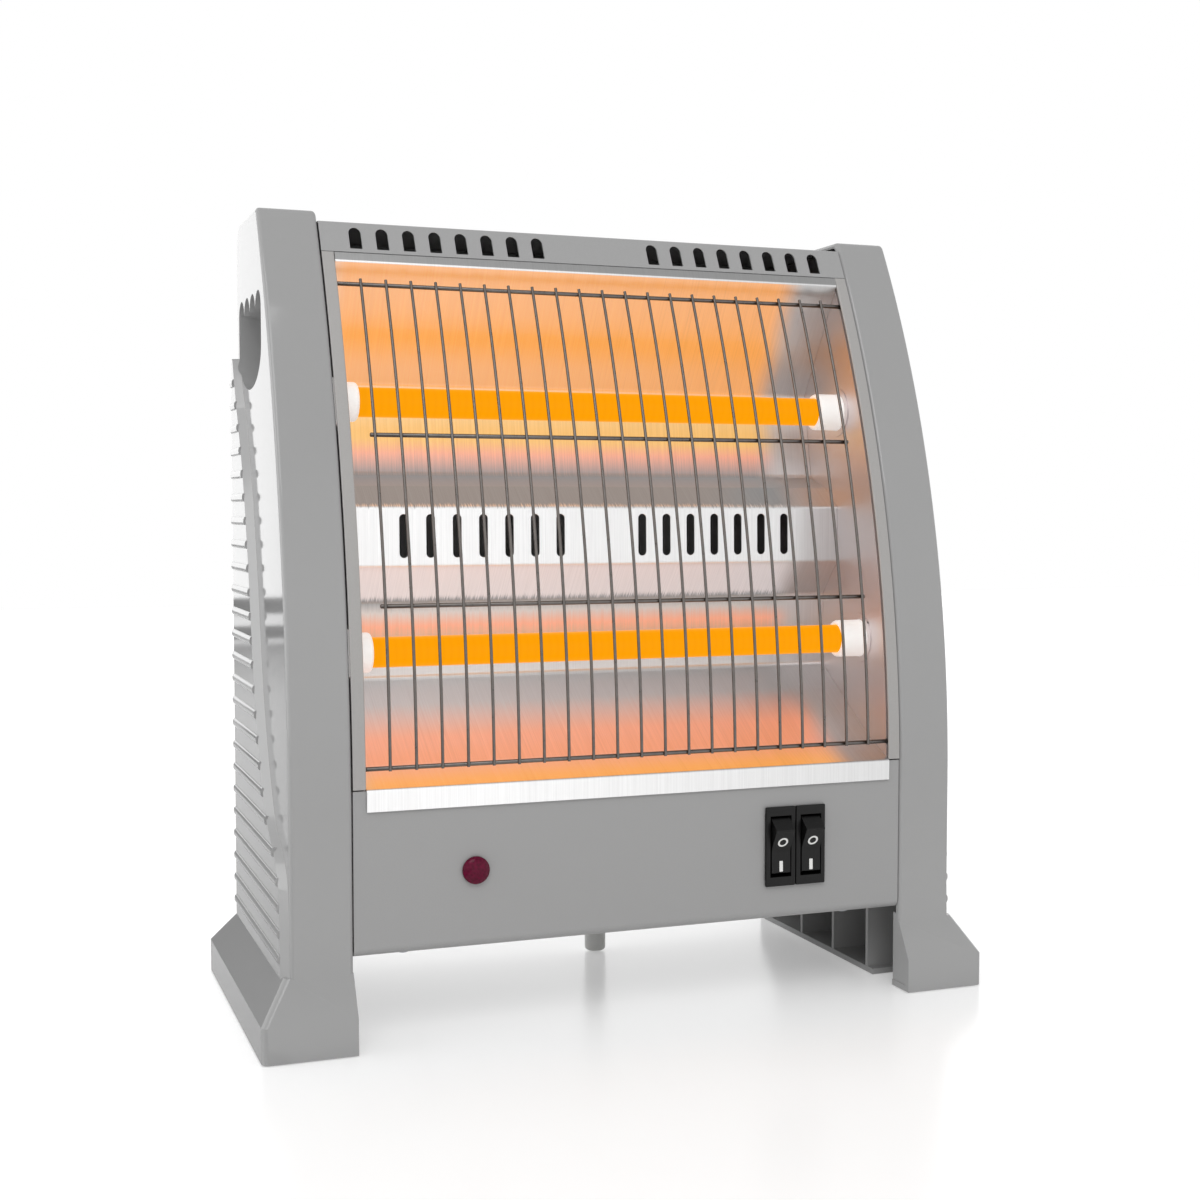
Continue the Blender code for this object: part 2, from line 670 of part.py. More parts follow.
def make_side_cover():
    """The right-hand cover: a moulded shell, open towards the middle of the heater."""
    cover = cover_skin(
        "side_cover_right",
        0.0,
        FOOT_BAND_HEIGHT * 0.8,
        (
            (INNER_X, 0.0009),
            (INNER_X + 0.10 * COVER_WIDTH, 0.0002),
            (INNER_X + 0.45 * COVER_WIDTH, 0.0),
            (INNER_X + 0.94 * COVER_WIDTH, 0.0003),
            (OUTER_X, 0.0013),
        ),
    )
    foot = foot_skin("cover_foot", 0.0, INNER_X, 0.0, FOOT_TOP_Z)
    rings = []
    for x, shift in ((OUTER_X - COVER_WALL / 2, 0.0), (OUTER_X, 0.0), (OUTER_X + PANEL_RISE, PANEL_BEVEL)):
        rings.append([(x, y, z) for y, z in panel_outline(shift)])
    panel = loft("cover_panel", rings)

    beads = []
    top_x = OUTER_X + PANEL_RISE + BEAD_RISE
    bead_pitch = (HEIGHT - BEAD_TOP_DROP - BEAD_LOW_Z) / (BEADS - 1)
    for i in range(BEADS):
        z = BEAD_LOW_Z + bead_pitch * i
        half = BEAD_HEIGHT / 2
        outline = [
            Vector((OUTER_X + PANEL_RISE / 2, z - half)),
            Vector((top_x - BEAD_RISE / 2, z - half)),
            Vector((top_x, z)),
            Vector((top_x - BEAD_RISE / 2, z + half)),
            Vector((OUTER_X + PANEL_RISE / 2, z + half)),
        ]
        start = panel_edge_y(z) + PANEL_BEVEL * 0.7
        beads.append(plate("bead", [outline], "Y", start, rear_y(z, COVER_WALL / 2 + FIT)))
    fuse(cover, foot, panel, gathered("cover_beads", beads))

    open_x = INNER_X - COVER_WALL
    hollow = cover_skin(
        "cover_hollow", COVER_WALL, FOOT_TOP_Z - COVER_WALL / 2, ((open_x, 0.0), (OUTER_X - COVER_WALL, 0.0))
    )
    foot_hollow = foot_skin("foot_hollow", COVER_WALL, open_x, COVER_WALL, FOOT_TOP_Z + FIT)
    rings = []
    for x, shift in ((OUTER_X - COVER_WALL * 1.2, 0.0), (OUTER_X + PANEL_RISE - COVER_WALL, PANEL_BEVEL)):
        rings.append([(x, y, z + FIT) for y, z in panel_outline(shift, COVER_WALL)])
    cut(cover, hollow, foot_hollow, loft("panel_hollow", rings))

    # The recess has its own cup behind the outer wall
    outline = grip_outline()
    left, right = min(p.x for p in outline), max(p.x for p in outline)
    top, bottom = max(p.y for p in outline), min(p.y for p in outline)
    cup_outline = rounded(
        [
            (left - COVER_WALL, top + COVER_WALL, GRIP_CUP_CORNER),
            (left - COVER_WALL, bottom - COVER_WALL, GRIP_CUP_FOOT),
            (right + COVER_WALL * 1.4, bottom - COVER_WALL, GRIP_CUP_FOOT),
            (right + COVER_WALL * 1.4, top + COVER_WALL, GRIP_CUP_CORNER),
        ],
        steps=4,
    )
    pocket_x = OUTER_X - GRIP_DEPTH
    fuse(cover, plate("grip_cup", [cup_outline], "X", pocket_x - COVER_WALL, OUTER_X - COVER_WALL * 0.8))
    cut(cover, plate("grip_cut", [outline], "X", pocket_x, OUTER_X + 2 * PANEL_RISE))

    # Partition ribs and the closed front corner of the foot
    rib_outline = [
        Vector((INNER_X + FIT, COVER_WALL * 0.6)),
        Vector((FOOT_X - COVER_WALL * 0.6, COVER_WALL * 0.6)),
        Vector((FOOT_X - COVER_WALL * 0.6, FOOT_BAND_HEIGHT)),
        Vector((OUTER_X + FOOT_TOP_FLARE - COVER_WALL * 0.7, FOOT_TOP_Z)),
        Vector((OUTER_X - COVER_WALL * 0.6, FOOT_TOP_Z + COVER_WALL)),
        Vector((INNER_X + FIT, FOOT_TOP_Z + COVER_WALL)),
    ]
    ribs = []
    for i in range(FOOT_RIBS):
        y = depth(FOOT_RIB_FIRST + FOOT_RIB_PITCH * i)
        ribs.append(plate("rib", [rib_outline], "Y", y - FOOT_RIB / 2, y + FOOT_RIB / 2))
    wall = COVER_WALL * 0.6
    corner_outline = [
        Vector((depth(wall), wall)),
        Vector((depth(FOOT_RETURN), wall)),
        Vector((depth(FOOT_RETURN), FOOT_TOP_Z + COVER_WALL)),
        Vector((FRONT_Y + wall, FOOT_TOP_Z + COVER_WALL)),
        Vector((FRONT_Y + wall, FOOT_TOP_Z)),
        Vector((depth(wall), FOOT_BAND_HEIGHT)),
    ]
    corner = plate("foot_corner", [corner_outline], "X", INNER_X + FIT, INNER_X + FIT + COVER_WALL)
    fuse(cover, gathered("foot_ribs", ribs), corner)
    notch_low = (INNER_X - COVER_WALL, depth(FOOT_RETURN), -COVER_WALL)
    notch_high = (INNER_X + FOOT_NOTCH_DEPTH, depth(FOOT_RETURN + FOOT_NOTCH), COVER_WALL * 1.2)
    cut(cover, block("foot_notch", notch_low, notch_high))

    bosses, pilots = [], []
    boss_x = END_OUTER_X + FIT
    for y, z in boss_ends():
        behind_panel = z < HEIGHT - PANEL_TIP_DROP and y > panel_edge_y(z)
        wall_x = OUTER_X + PANEL_RISE * behind_panel - COVER_WALL / 2
        bosses.append(rod("boss", (boss_x, y, z), (wall_x, y, z), BOSS_RADIUS, 10))
        pilots.append(
            rod("pilot", (boss_x - FIT * 2, y, z), (boss_x + SCREW_LENGTH, y, z), SCREW_RADIUS + FIT, 8)
        )
    fuse(cover, gathered("cover_bosses", bosses))
    cut(cover, gathered("cover_pilots", pilots))
    return cover


def make_covers():
    right = make_side_cover()
    left = mirrored(right, "side_cover_left")
    for cover in (right, left):
        finish(cover, COVER_PLASTIC)


def make_trim_strips():
    """A narrow bowed strip beside the window, with a flange along the end plate."""
    low, high = WINDOW_BOTTOM_Z + FIT, WINDOW_TOP_Z - FIT
    strip = plate("trim_strip_right", [bow_band(0.0, PANEL_SHEET, low, high)], "X", END_X, SHEET_X)
    flange_x = END_OUTER_X + FIT
    flange_view = bow_band(PANEL_SHEET / 2, TRIM_FLANGE, low, high)
    flange = plate("trim_flange", [flange_view], "X", flange_x, flange_x + PANEL_SHEET)
    fuse(strip, flange)
    twin = mirrored(strip, "trim_strip_left")
    finish(strip, PAINT)
    finish(twin, PAINT)


def tube_centre(place):
    behind, drawn_z = place
    z = level(drawn_z)
    return bow_y(z) + behind, z


def guard_cross_y(z):
    """Cross wires lie just behind the uprights, and are welded to them."""
    return bow_y(z) + GUARD_SETBACK + 2 * GUARD_UPRIGHT_RADIUS + GUARD_CROSS_RADIUS - GUARD_WELD


def make_end_plates():
    """Polished plates that close the reflector's ends and carry the tubes, the guard and the covers."""
    outline = section(
        2 * PANEL_SHEET + FIT,
        BACK_INSET + PANEL_SHEET + FIT,
        BASE_TOP_Z + FIT,
        TOP_PANEL_Z - PANEL_SHEET - FIT,
    )
    holes = [circle(tube_centre(place), CAP_RADIUS + FIT, 16) for place in TUBE_PLACES.values()]
    for place in boss_ends():
        holes.append(circle(place, SCREW_RADIUS + FIT, 8))
    right = plate("end_plate_right", [outline, *holes], "X", END_X, END_OUTER_X)
    notches = []
    for z in (level(GUARD_CROSS_Z[0]), level(GUARD_CROSS_Z[-1])):
        start = (END_X - END_SHEET, guard_cross_y(z), z)
        end = (END_OUTER_X + END_SHEET, guard_cross_y(z), z)
        notches.append(rod("notch", start, end, GUARD_CROSS_RADIUS + FIT, 10))
    cut(right, gathered("guard_notches", notches))
    left = mirrored(right, "end_plate_left")
    finish(right, BRIGHT_ALUMINIUM)
    finish(left, BRIGHT_ALUMINIUM)


def make_reflector():
    """One aluminium sheet: top lip, two troughs with a slotted band between them, and the front strip."""
    bow = [LIP_TOP_Z, (LIP_TOP_Z + WINDOW_TOP_Z) / 2]
    path = [(bow_y(z), z, 0) for z in bow]
    path.append((bow_y(WINDOW_TOP_Z), WINDOW_TOP_Z, 0.0008))
    path += [(depth(y), level(z), radius) for y, z, radius in REFLECTOR_FOLDS]
    path.append((depth(LIP_STRIP_DEPTH), WINDOW_BOTTOM_Z, 0.0010))
    path.append((depth(LIP_STRIP_DEPTH), LIP_STRIP_Z, 0))
    sheet = bent_sheet("reflector", rounded(path, closed=False, steps=2), REFLECTOR_SHEET, END_X - FIT)
    low, high = [level(z) for z in BAND_SLOT_Z]
    slots = []
    for i in range(BAND_SLOTS):
        x = BAND_SLOT_FIRST + BAND_SLOT_PITCH * i
        slots += [obround(side * x, low, high, BAND_SLOT_WIDTH) for side in (-1, 1)]
    band = depth(REFLECTOR_FOLDS[4][0])
    cut(sheet, plate("band_slots", slots, "Y", band - CUT_REACH, band + CUT_REACH))
    finish(sheet, BRUSHED_ALUMINIUM)


def make_top_panel():
    """Painted sheet over the top, folded down the bow in front, with arched air outlets."""
    fold_y = bow_y(TOP_PANEL_Z)
    rear_top = rear_y(TOP_PANEL_Z, REAR_RECESS)
    lowest = LIP_TOP_Z + FIT
    path = [
        (rear_y(TOP_PANEL_Z - REAR_FLANGE, REAR_RECESS), TOP_PANEL_Z - REAR_FLANGE, 0),
        (rear_top, TOP_PANEL_Z, TOP_PANEL_BEND),
        (fold_y, TOP_PANEL_Z, TOP_PANEL_BEND),
        (bow_y((TOP_PANEL_Z + lowest) / 2), (TOP_PANEL_Z + lowest) / 2, 0),
        (bow_y(lowest), lowest, 0),
    ]
    sheet = bent_sheet("top_panel", rounded(path, closed=False), PANEL_SHEET, SHEET_X)
    outlets = []
    r = OUTLET_WIDTH / 2
    low, high = [TOP_PANEL_Z - drop for drop in OUTLET_DROP]
    for i in range(OUTLETS):
        for side in (-1, 1):
            x = side * (OUTLET_FIRST + OUTLET_PITCH * i)
            outlets.append([Vector((x - r, low)), Vector((x + r, low)), *arc((x, high - r), r, 0, 180, 5)])
    cut(sheet, plate("outlets", outlets, "Y", bow_y(low) - CUT_REACH, fold_y + CUT_REACH))
    cut(sheet, gathered("top_panel_holes", screw_holes_y(BACK_SCREW_TOP_Z)))
    finish(sheet, PAINT)


def screw_axis_y(x, z):
    """A line through the back of the heater, for a hole."""
    return (x, rear_y(z, 3 * CUT_REACH), z), (x, rear_y(z, -CUT_REACH), z)


def screw_holes_y(z):
    """The two screw holes through the back at a height."""
    return [rod("hole", *screw_axis_y(x, z), SCREW_RADIUS + FIT, 8) for x in (-SCREW_X, SCREW_X)]


def make_back_panel():
    """A flat sheet with two rows of air slots, held by the flanges of the top panel and the base plate."""
    low = BASE_TOP_Z - PANEL_SHEET + TOP_PANEL_BEND + FIT
    high = TOP_PANEL_Z - TOP_PANEL_BEND - FIT
    path = [(rear_y(low, BACK_INSET), low), (rear_y(high, BACK_INSET), high)]
    sheet = bent_sheet("back_panel", path, PANEL_SHEET, SHEET_X)
    slots = []
    for low, high in BACK_SLOT_ROWS:
        if low > WINDOW_BOTTOM_Z:
            low, high = level(low), level(high)
        for i in range(BACK_SLOTS):
            x = BACK_SLOT_PITCH * (i - (BACK_SLOTS - 1) / 2)
            slots.append(obround(x, low, high, BACK_SLOT_WIDTH))
    cut(sheet, plate("back_slots", slots, "Y", rear_y(HEIGHT, 3 * CUT_REACH), REAR_Y + CUT_REACH))
    holes = []
    for z in (BACK_SCREW_TOP_Z, BACK_SCREW_LOW_Z):
        holes += screw_holes_y(z)
    holes.append(rod("hole", *screw_axis_y(BUSH_X, BUSH_Z), BUSH_NECK_RADIUS + FIT, 12))
    cut(sheet, gathered("back_panel_holes", holes))
    finish(sheet, PAINT)


def make_lower_panel():
    """The front panel under the window, with holes for the switches and the indicator."""
    front = depth(LOWER_PANEL_DEPTH)
    path = [
        (front, WINDOW_BOTTOM_Z - FIT, 0),
        (front, LOWER_PANEL_BOTTOM_Z, LOWER_PANEL_BEND),
        (depth(LOWER_PANEL_FLANGE), LOWER_PANEL_BOTTOM_Z, 0),
    ]
    sheet = bent_sheet("lower_panel", rounded(path, closed=False, steps=4), PANEL_SHEET, SHEET_X)
    middle = SWITCH_X + SWITCH_PITCH / 2
    half_width = (SWITCH_PITCH + SWITCH_BODY_WIDTH) / 2 + FIT
    half_height = SWITCH_BODY_HEIGHT / 2 + FIT
    holes = [
        rectangle(middle - half_width, middle + half_width, SWITCH_Z - half_height, SWITCH_Z + half_height),
        circle((NEON_X, NEON_Z), NEON_STEM_RADIUS + FIT, 12),
    ]
    cut(sheet, plate("panel_holes", holes, "Y", front - CUT_REACH, front + CUT_REACH))
    screw_holes = []
    for x in (-SCREW_X, SCREW_X):
        low = (x, depth(BASE_SCREW_DEPTH), LOWER_PANEL_BOTTOM_Z - CUT_REACH)
        high = (x, depth(BASE_SCREW_DEPTH), LOWER_PANEL_BOTTOM_Z + CUT_REACH)
        screw_holes.append(rod("hole", low, high, SCREW_RADIUS + FIT, 8))
    cut(sheet, gathered("lower_panel_screw_holes", screw_holes))
    finish(sheet, PAINT)


def make_base_plate():
    """The bottom sheet: rests on the lower panel's flange and turns up behind the back panel."""
    rear = rear_y(LOWER_PANEL_BOTTOM_Z, REAR_RECESS)
    bottom = BASE_TOP_Z - PANEL_SHEET
    top = bottom + REAR_FLANGE
    path = [
        (depth(LOWER_PANEL_DEPTH + 2 * LOWER_PANEL_BEND), bottom, 0),
        (rear, bottom, TOP_PANEL_BEND),
        (rear_y(top, REAR_RECESS), top, 0),
    ]
    sheet = bent_sheet("base_plate", rounded(path, closed=False), PANEL_SHEET, SHEET_X)
    low, high = BASE_SLOT_DEPTH
    slots = []
    for i in range(BASE_SLOTS):
        x = BASE_SLOT_PITCH * (i - (BASE_SLOTS - 1) / 2)
        slots.append(obround(x, depth(low), depth(high), BASE_SLOT_WIDTH))
    slots.append(circle((TIP_X, TIP_Y), PLUNGER_RADIUS + FIT, 16))
    slots += [circle((x, depth(BASE_SCREW_DEPTH)), SCREW_RADIUS + FIT, 8) for x in (-SCREW_X, SCREW_X)]
    cut(sheet, plate("base_slots", slots, "Z", bottom - CUT_REACH, bottom + CUT_REACH))
    cut(sheet, gathered("base_plate_holes", screw_holes_y(BACK_SCREW_LOW_Z)))
    finish(sheet, PAINT)


def make_element(row, place):
    """A quartz tube with its heating coil, a ceramic cap at each end and a terminal stud in each cap."""
    y, z = tube_centre(place)
    cap_length = END_OUTER_X + FIT + CAP_FLANGE + CAP_NECK - CAP_MOUTH_X
    tube_x = CAP_MOUTH_X + CAP_BORE_DEPTH - FIT
    bore = TUBE_RADIUS - TUBE_WALL
    profile = [(TUBE_RADIUS, tube_x), (TUBE_RADIUS, -tube_x), (bore, -tube_x), (bore, tube_x)]
    tube = turned(f"quartz_tube_{row}", profile, (0, y, z), (1, 0, 0), ring=True)
    finish(tube, QUARTZ)

    stud_hole = STUD_RADIUS + FIT
    flange_low = END_OUTER_X + FIT - CAP_MOUTH_X
    cap_profile = [
        (CAP_NECK_RADIUS, cap_length),
        (CAP_NECK_RADIUS, flange_low + CAP_FLANGE),
        (CAP_FLANGE_RADIUS, flange_low + CAP_FLANGE),
        (CAP_FLANGE_RADIUS, flange_low),
        (CAP_RADIUS, flange_low),
        (CAP_RADIUS, CAP_RADIUS - TUBE_RADIUS),
        (TUBE_RADIUS + 3 * FIT, 0),
        (TUBE_RADIUS + FIT, 0),
        (TUBE_RADIUS + FIT, CAP_BORE_DEPTH),
        (stud_hole, CAP_BORE_DEPTH),
        (stud_hole, cap_length),
    ]
    nut_low = cap_length + FIT
    stud_profile = [
        (0, CAP_BORE_DEPTH + FIT + STUD_LENGTH),
        (STUD_RADIUS, CAP_BORE_DEPTH + FIT + STUD_LENGTH),
        (STUD_RADIUS, nut_low + STUD_NUT),
        (STUD_NUT_RADIUS, nut_low + STUD_NUT),
        (STUD_NUT_RADIUS, nut_low),
        (STUD_RADIUS, nut_low),
        (STUD_RADIUS, CAP_BORE_DEPTH + FIT),
        (0, CAP_BORE_DEPTH + FIT),
    ]
    for side, word in ((-1, "left"), (1, "right")):
        mouth = (side * CAP_MOUTH_X, y, z)
        cap = turned(f"ceramic_cap_{row}_{word}", cap_profile, mouth, (side, 0, 0), sides=14, ring=True)
        stud = turned(f"terminal_stud_{row}_{word}", stud_profile, mouth, (side, 0, 0), sides=8)
        finish(cap, CERAMIC)
        finish(stud, STEEL)

    end = CAP_MOUTH_X + CAP_BORE_DEPTH
    reach = end - COIL_TAIL
    count = COIL_TURNS * COIL_POINTS
    path = [(-end, y, z), (-reach - COIL_RADIUS, y, z)]
    for i in range(count + 1):
        angle = 2 * math.pi * i / COIL_POINTS
        x = -reach + 2 * reach * i / count
        path.append((x, y + COIL_RADIUS * math.cos(angle), z + COIL_RADIUS * math.sin(angle)))
    path += [(reach + COIL_RADIUS, y, z), (end, y, z)]
    finish(wire(f"heating_coil_{row}", [path], COIL_WIRE_RADIUS), HOT_WIRE)


def make_guard():
    """Upright wires that follow the bow, welded to four cross wires behind them."""
    cross_heights = [level(z) for z in GUARD_CROSS_Z]
    low = cross_heights[0] - GUARD_OVERHANG
    high = cross_heights[-1] + GUARD_OVERHANG
    heights = [low + (high - low) * i / GUARD_STEPS for i in range(GUARD_STEPS + 1)]
    uprights = []
    for i in range(GUARD_UPRIGHTS):
        x = GUARD_PITCH * (i - (GUARD_UPRIGHTS - 1) / 2)
        uprights.append([(x, bow_y(z) + GUARD_SETBACK + GUARD_UPRIGHT_RADIUS, z) for z in heights])
    guard = wire("guard_grille", uprights, GUARD_UPRIGHT_RADIUS)
    widest = GUARD_PITCH * (GUARD_UPRIGHTS - 1) / 2
    crosses = []
    for z in cross_heights:
        at_end = z in (cross_heights[0], cross_heights[-1])
        reach = END_OUTER_X if at_end else widest + 2 * GUARD_CROSS_RADIUS
        crosses.append([(-reach, guard_cross_y(z), z), (reach, guard_cross_y(z), z)])
    fuse(guard, wire("guard_crosses", crosses, GUARD_CROSS_RADIUS))
    finish(guard, STEEL)


def make_switch(x, word):
    """A rocker switch: a black body with a bezel and a pocket, and a rocker on two trunnions."""
    front = depth(SWITCH_FRONT)
    back = front + SWITCH_BEZEL
    pivot = Vector((x, front + ROCKER_PIVOT_DEPTH, SWITCH_Z))
    half_bezel = SWITCH_PITCH / 2 - FIT / 2
    half_body = SWITCH_BODY_WIDTH / 2
    half_pocket = ROCKER_WIDTH / 2 + FIT
    tall = SWITCH_BEZEL_HEIGHT / 2
    low = (x - half_bezel, front, SWITCH_Z - tall)
    body = block(f"switch_body_{word}", low, (x + half_bezel, back, SWITCH_Z + tall))
    tall = SWITCH_BODY_HEIGHT / 2
    housing_end = back + SWITCH_BODY_DEPTH
    housing = block(
        "switch_housing",
        (x - half_body, back - SWITCH_BEZEL / 2, SWITCH_Z - tall),
        (x + half_body, housing_end, SWITCH_Z + tall),
    )
    thick, wide, long = SWITCH_BLADE
    blades = []
    for z in (SWITCH_Z - SWITCH_BLADE_Z, SWITCH_Z + SWITCH_BLADE_Z):
        low = (x - wide / 2, housing_end - thick, z - thick / 2)
        blades.append(block("blade", low, (x + wide / 2, housing_end + long, z + thick / 2)))
    fuse(body, housing, gathered("switch_blades", blades))
    tall = ROCKER_SWEEP + 2 * FIT
    pocket = block(
        "switch_pocket",
        (x - half_pocket, front - FIT, SWITCH_Z - tall),
        (x + half_pocket, front + ROCKER_SWEEP, SWITCH_Z + tall),
    )
    aside = Vector((half_pocket + TRUNNION, 0, 0))
    socket = rod("switch_socket", pivot - aside, pivot + aside, TRUNNION_RADIUS + FIT, 12)
    cut(body, pocket, socket)
    finish(body, BLACK_PLASTIC)

    # The rocker's side view in its middle position, from the top ridge round the back
    ridge = math.radians(ROCKER_RIDGE_DEG)
    ridge_y, ridge_z = -ROCKER_RIDGE_RADIUS * math.cos(ridge), ROCKER_RIDGE_RADIUS * math.sin(ridge)
    half_view = [
        (-ROCKER_VALLEY, 0.0, 0.004),
        (ridge_y, ridge_z, 0.0008),
        (-ROCKER_SWEEP * 0.18, ROCKER_SWEEP * 0.975, 0.0015),
        (ROCKER_SWEEP * 0.16, ROCKER_SWEEP * 0.88, 0),
    ]
    view = half_view + [(y, -z, radius) for y, z, radius in reversed(half_view[1:])]
    outline = rounded(view, steps=2)
    half = ROCKER_WIDTH / 2
    rocker = plate(f"rocker_{word}", [outline], "X", -half, half)
    pin = rod("rocker_pin", (-half - TRUNNION, 0, 0), (half + TRUNNION, 0, 0), TRUNNION_RADIUS, 10)
    fuse(rocker, pin)
    rocker = baked(rocker)
    rocker.data.transform(Matrix.Rotation(math.radians(ROCKER_THROW_DEG / 2), 4, "X"))
    rocker.location = pivot
    finish(rocker, BLACK_PLASTIC)


def make_indicator():
    """A domed red lens with a stem through the panel, and the clip that holds it from behind."""
    front = LOWER_PANEL_DEPTH - FIT
    r = NEON_RADIUS
    lens = turned(
        "neon_lens",
        [
            (0, NEON_DOME),
            (r * 0.45, NEON_DOME * 0.9),
            (r * 0.78, NEON_DOME * 0.63),
            (r * 0.93, NEON_DOME * 0.37),
            (r, NEON_RIM),
            (r, 0),
            (NEON_STEM_RADIUS, 0),
            (NEON_STEM_RADIUS, -NEON_STEM),
            (0, -NEON_STEM),
        ],
        (NEON_X, depth(front), NEON_Z),
        (0, -1, 0),
    )
    finish(lens, RED_LENS)
    inner = NEON_STEM_RADIUS + FIT
    clip_y = depth(LOWER_PANEL_DEPTH + PANEL_SHEET + FIT)
    clip = turned(
        "neon_clip",
        [
            (r, 0),
            (r, -CLIP_RIM),
            (inner + CLIP_WALL, -CLIP_RIM),
            (inner + CLIP_WALL, -CLIP_LENGTH),
            (inner, -CLIP_LENGTH),
            (inner, 0),
        ],
        (NEON_X, clip_y, NEON_Z),
        (0, -1, 0),
        sides=12,
        ring=True,
    )
    finish(clip, STEEL)


def make_tip_switch():
    """The tip-over switch: the floor holds its plunger up, and a spring pushes it out when lifted."""
    y = TIP_Y
    base = BASE_TOP_Z + FIT
    wide, deep, tall = TIP_BODY
    low = (TIP_X - wide / 2, y - deep / 2, base)
    body = block("tip_switch_body", low, (TIP_X + wide / 2, y + deep / 2, base + tall))
    ceiling = base + tall - COVER_WALL
    cut(body, rod("tip_bore", (TIP_X, y, base - FIT), (TIP_X, y, ceiling), PLUNGER_COLLAR_RADIUS + FIT, 16))
    finish(body, BLACK_PLASTIC)

    collar_z = base + 2 * FIT + PLUNGER_TRAVEL
    top = collar_z + PLUNGER_COLLAR
    r = PLUNGER_RADIUS
    low = PLUNGER_FLOOR_GAP
    plunger = turned(
        "tip_switch_plunger",
        [
            (0, top),
            (PLUNGER_COLLAR_RADIUS, top),
            (PLUNGER_COLLAR_RADIUS, collar_z),
            (r, collar_z),
            (r, low + PLUNGER_NOSE),
            (r - PLUNGER_NOSE / 3, low + FIT),
            (r - PLUNGER_NOSE, low),
            (0, low),
        ],
        (0, 0, 0),
        (0, 0, 1),
    )
    plunger.location = (TIP_X, y, 0)
    finish(plunger, WHITE_PLASTIC)

    start, end = top + FIT + SPRING_WIRE_RADIUS, ceiling - FIT - SPRING_WIRE_RADIUS
    count = SPRING_TURNS * COIL_POINTS
    path = []
    for i in range(count + 1):
        angle = 2 * math.pi * i / COIL_POINTS
        z = start + (end - start) * i / count
        path.append((TIP_X + SPRING_RADIUS * math.cos(angle), y + SPRING_RADIUS * math.sin(angle), z))
    finish(wire("tip_switch_spring", [path], SPRING_WIRE_RADIUS), STEEL)


def make_inner_parts():
    """Terminal block on the base plate, thermal cut-out on the reflector and the cord's bush in the back."""
    x, distance = BLOCK_PLACE
    wide, deep, tall = BLOCK_SIZE
    low = Vector((x - wide / 2, depth(distance), BASE_TOP_Z + FIT))
    terminal = block("terminal_block", low, low + Vector(BLOCK_SIZE))
    holes = []
    for i in range(3):
        hole_x = x + wide / 3 * (i - 1)
        z = low.z + tall * 0.45
        holes.append(rod("hole", (hole_x, low.y - FIT, z), (hole_x, low.y + deep + FIT, z), tall * 0.22, 10))
    cut(terminal, gathered("terminal_holes", holes))
    finish(terminal, WHITE_PLASTIC)

    seat = depth(REFLECTOR_FOLDS[4][0]) + REFLECTOR_SHEET + FIT
    flange = PANEL_SHEET
    cutout = turned(
        "thermal_cutout",
        [
            (0, CUTOUT_HEIGHT),
            (CUTOUT_RADIUS * 0.8, CUTOUT_HEIGHT),
            (CUTOUT_RADIUS, CUTOUT_HEIGHT - PANEL_SHEET),
            (CUTOUT_RADIUS, flange),
            (CUTOUT_FLANGE_RADIUS, flange),
            (CUTOUT_FLANGE_RADIUS, 0),
            (0, 0),
        ],
        (0, seat, level(CUTOUT_Z)),
        (0, 1, 0),
    )
    finish(cutout, BLACK_PLASTIC)

    outside = rear_y(BUSH_Z, BACK_INSET) + FIT
    inside = PANEL_SHEET + 2 * FIT
    neck = BUSH_NECK_RADIUS
    bush = turned(
        "cord_bush",
        [
            (BUSH_RADIUS * 0.8, BUSH_HEAD),
            (BUSH_RADIUS, BUSH_HEAD / 2),
            (BUSH_RADIUS, 0),
            (neck, 0),
            (neck, -inside),
            (neck + 2 * FIT, -inside),
            (neck, -inside - BUSH_SNAP),
            (BUSH_BORE_RADIUS, -inside - BUSH_SNAP),
            (BUSH_BORE_RADIUS, BUSH_HEAD),
        ],
        (BUSH_X, outside + REAR_LEAN * BUSH_RADIUS, BUSH_Z),
        (0, 1, 0),
        sides=12,
        ring=True,
    )
    finish(bush, BLACK_PLASTIC)


def make_screw(name, seat, along, length):
    """A pan-head screw whose head rests at seat and whose shank runs along a direction."""
    profile = [
        (0, SCREW_HEAD),
        (SCREW_HEAD_RADIUS * 0.7, SCREW_HEAD),
        (SCREW_HEAD_RADIUS, SCREW_HEAD * 0.4),
        (SCREW_HEAD_RADIUS, 0),
        (SCREW_RADIUS, 0),
        (SCREW_RADIUS, -length),
        (0, -length),
    ]
    head_up = -Vector(along)
    finish(turned(name, profile, seat, head_up, sides=8), STEEL)


def make_screws():
    for side, word in ((-1, "left"), (1, "right")):
        for i, (y, z) in enumerate(boss_ends(), 1):
            seat = (side * (END_X - FIT), y, z)
            make_screw(f"cover_screw_{word}_{i}", seat, (side, 0, 0), SCREW_LENGTH)
        x = side * SCREW_X
        for z, place in ((BACK_SCREW_TOP_Z, "top"), (BACK_SCREW_LOW_Z, "low")):
            seat = (x, rear_y(z, REAR_RECESS) + REAR_LEAN * SCREW_HEAD_RADIUS + FIT, z)
            make_screw(f"back_screw_{place}_{word}", seat, (0, -1, 0), SCREW_LENGTH / 2)
        seat = (x, depth(BASE_SCREW_DEPTH), LOWER_PANEL_BOTTOM_Z - FIT)
        make_screw(f"base_screw_{word}", seat, (0, 0, 1), SCREW_LENGTH / 2)


for old in list(bpy.data.objects):
    bpy.data.objects.remove(old)

parts = collection("quartz_heater")
cutters = collection("cutters")

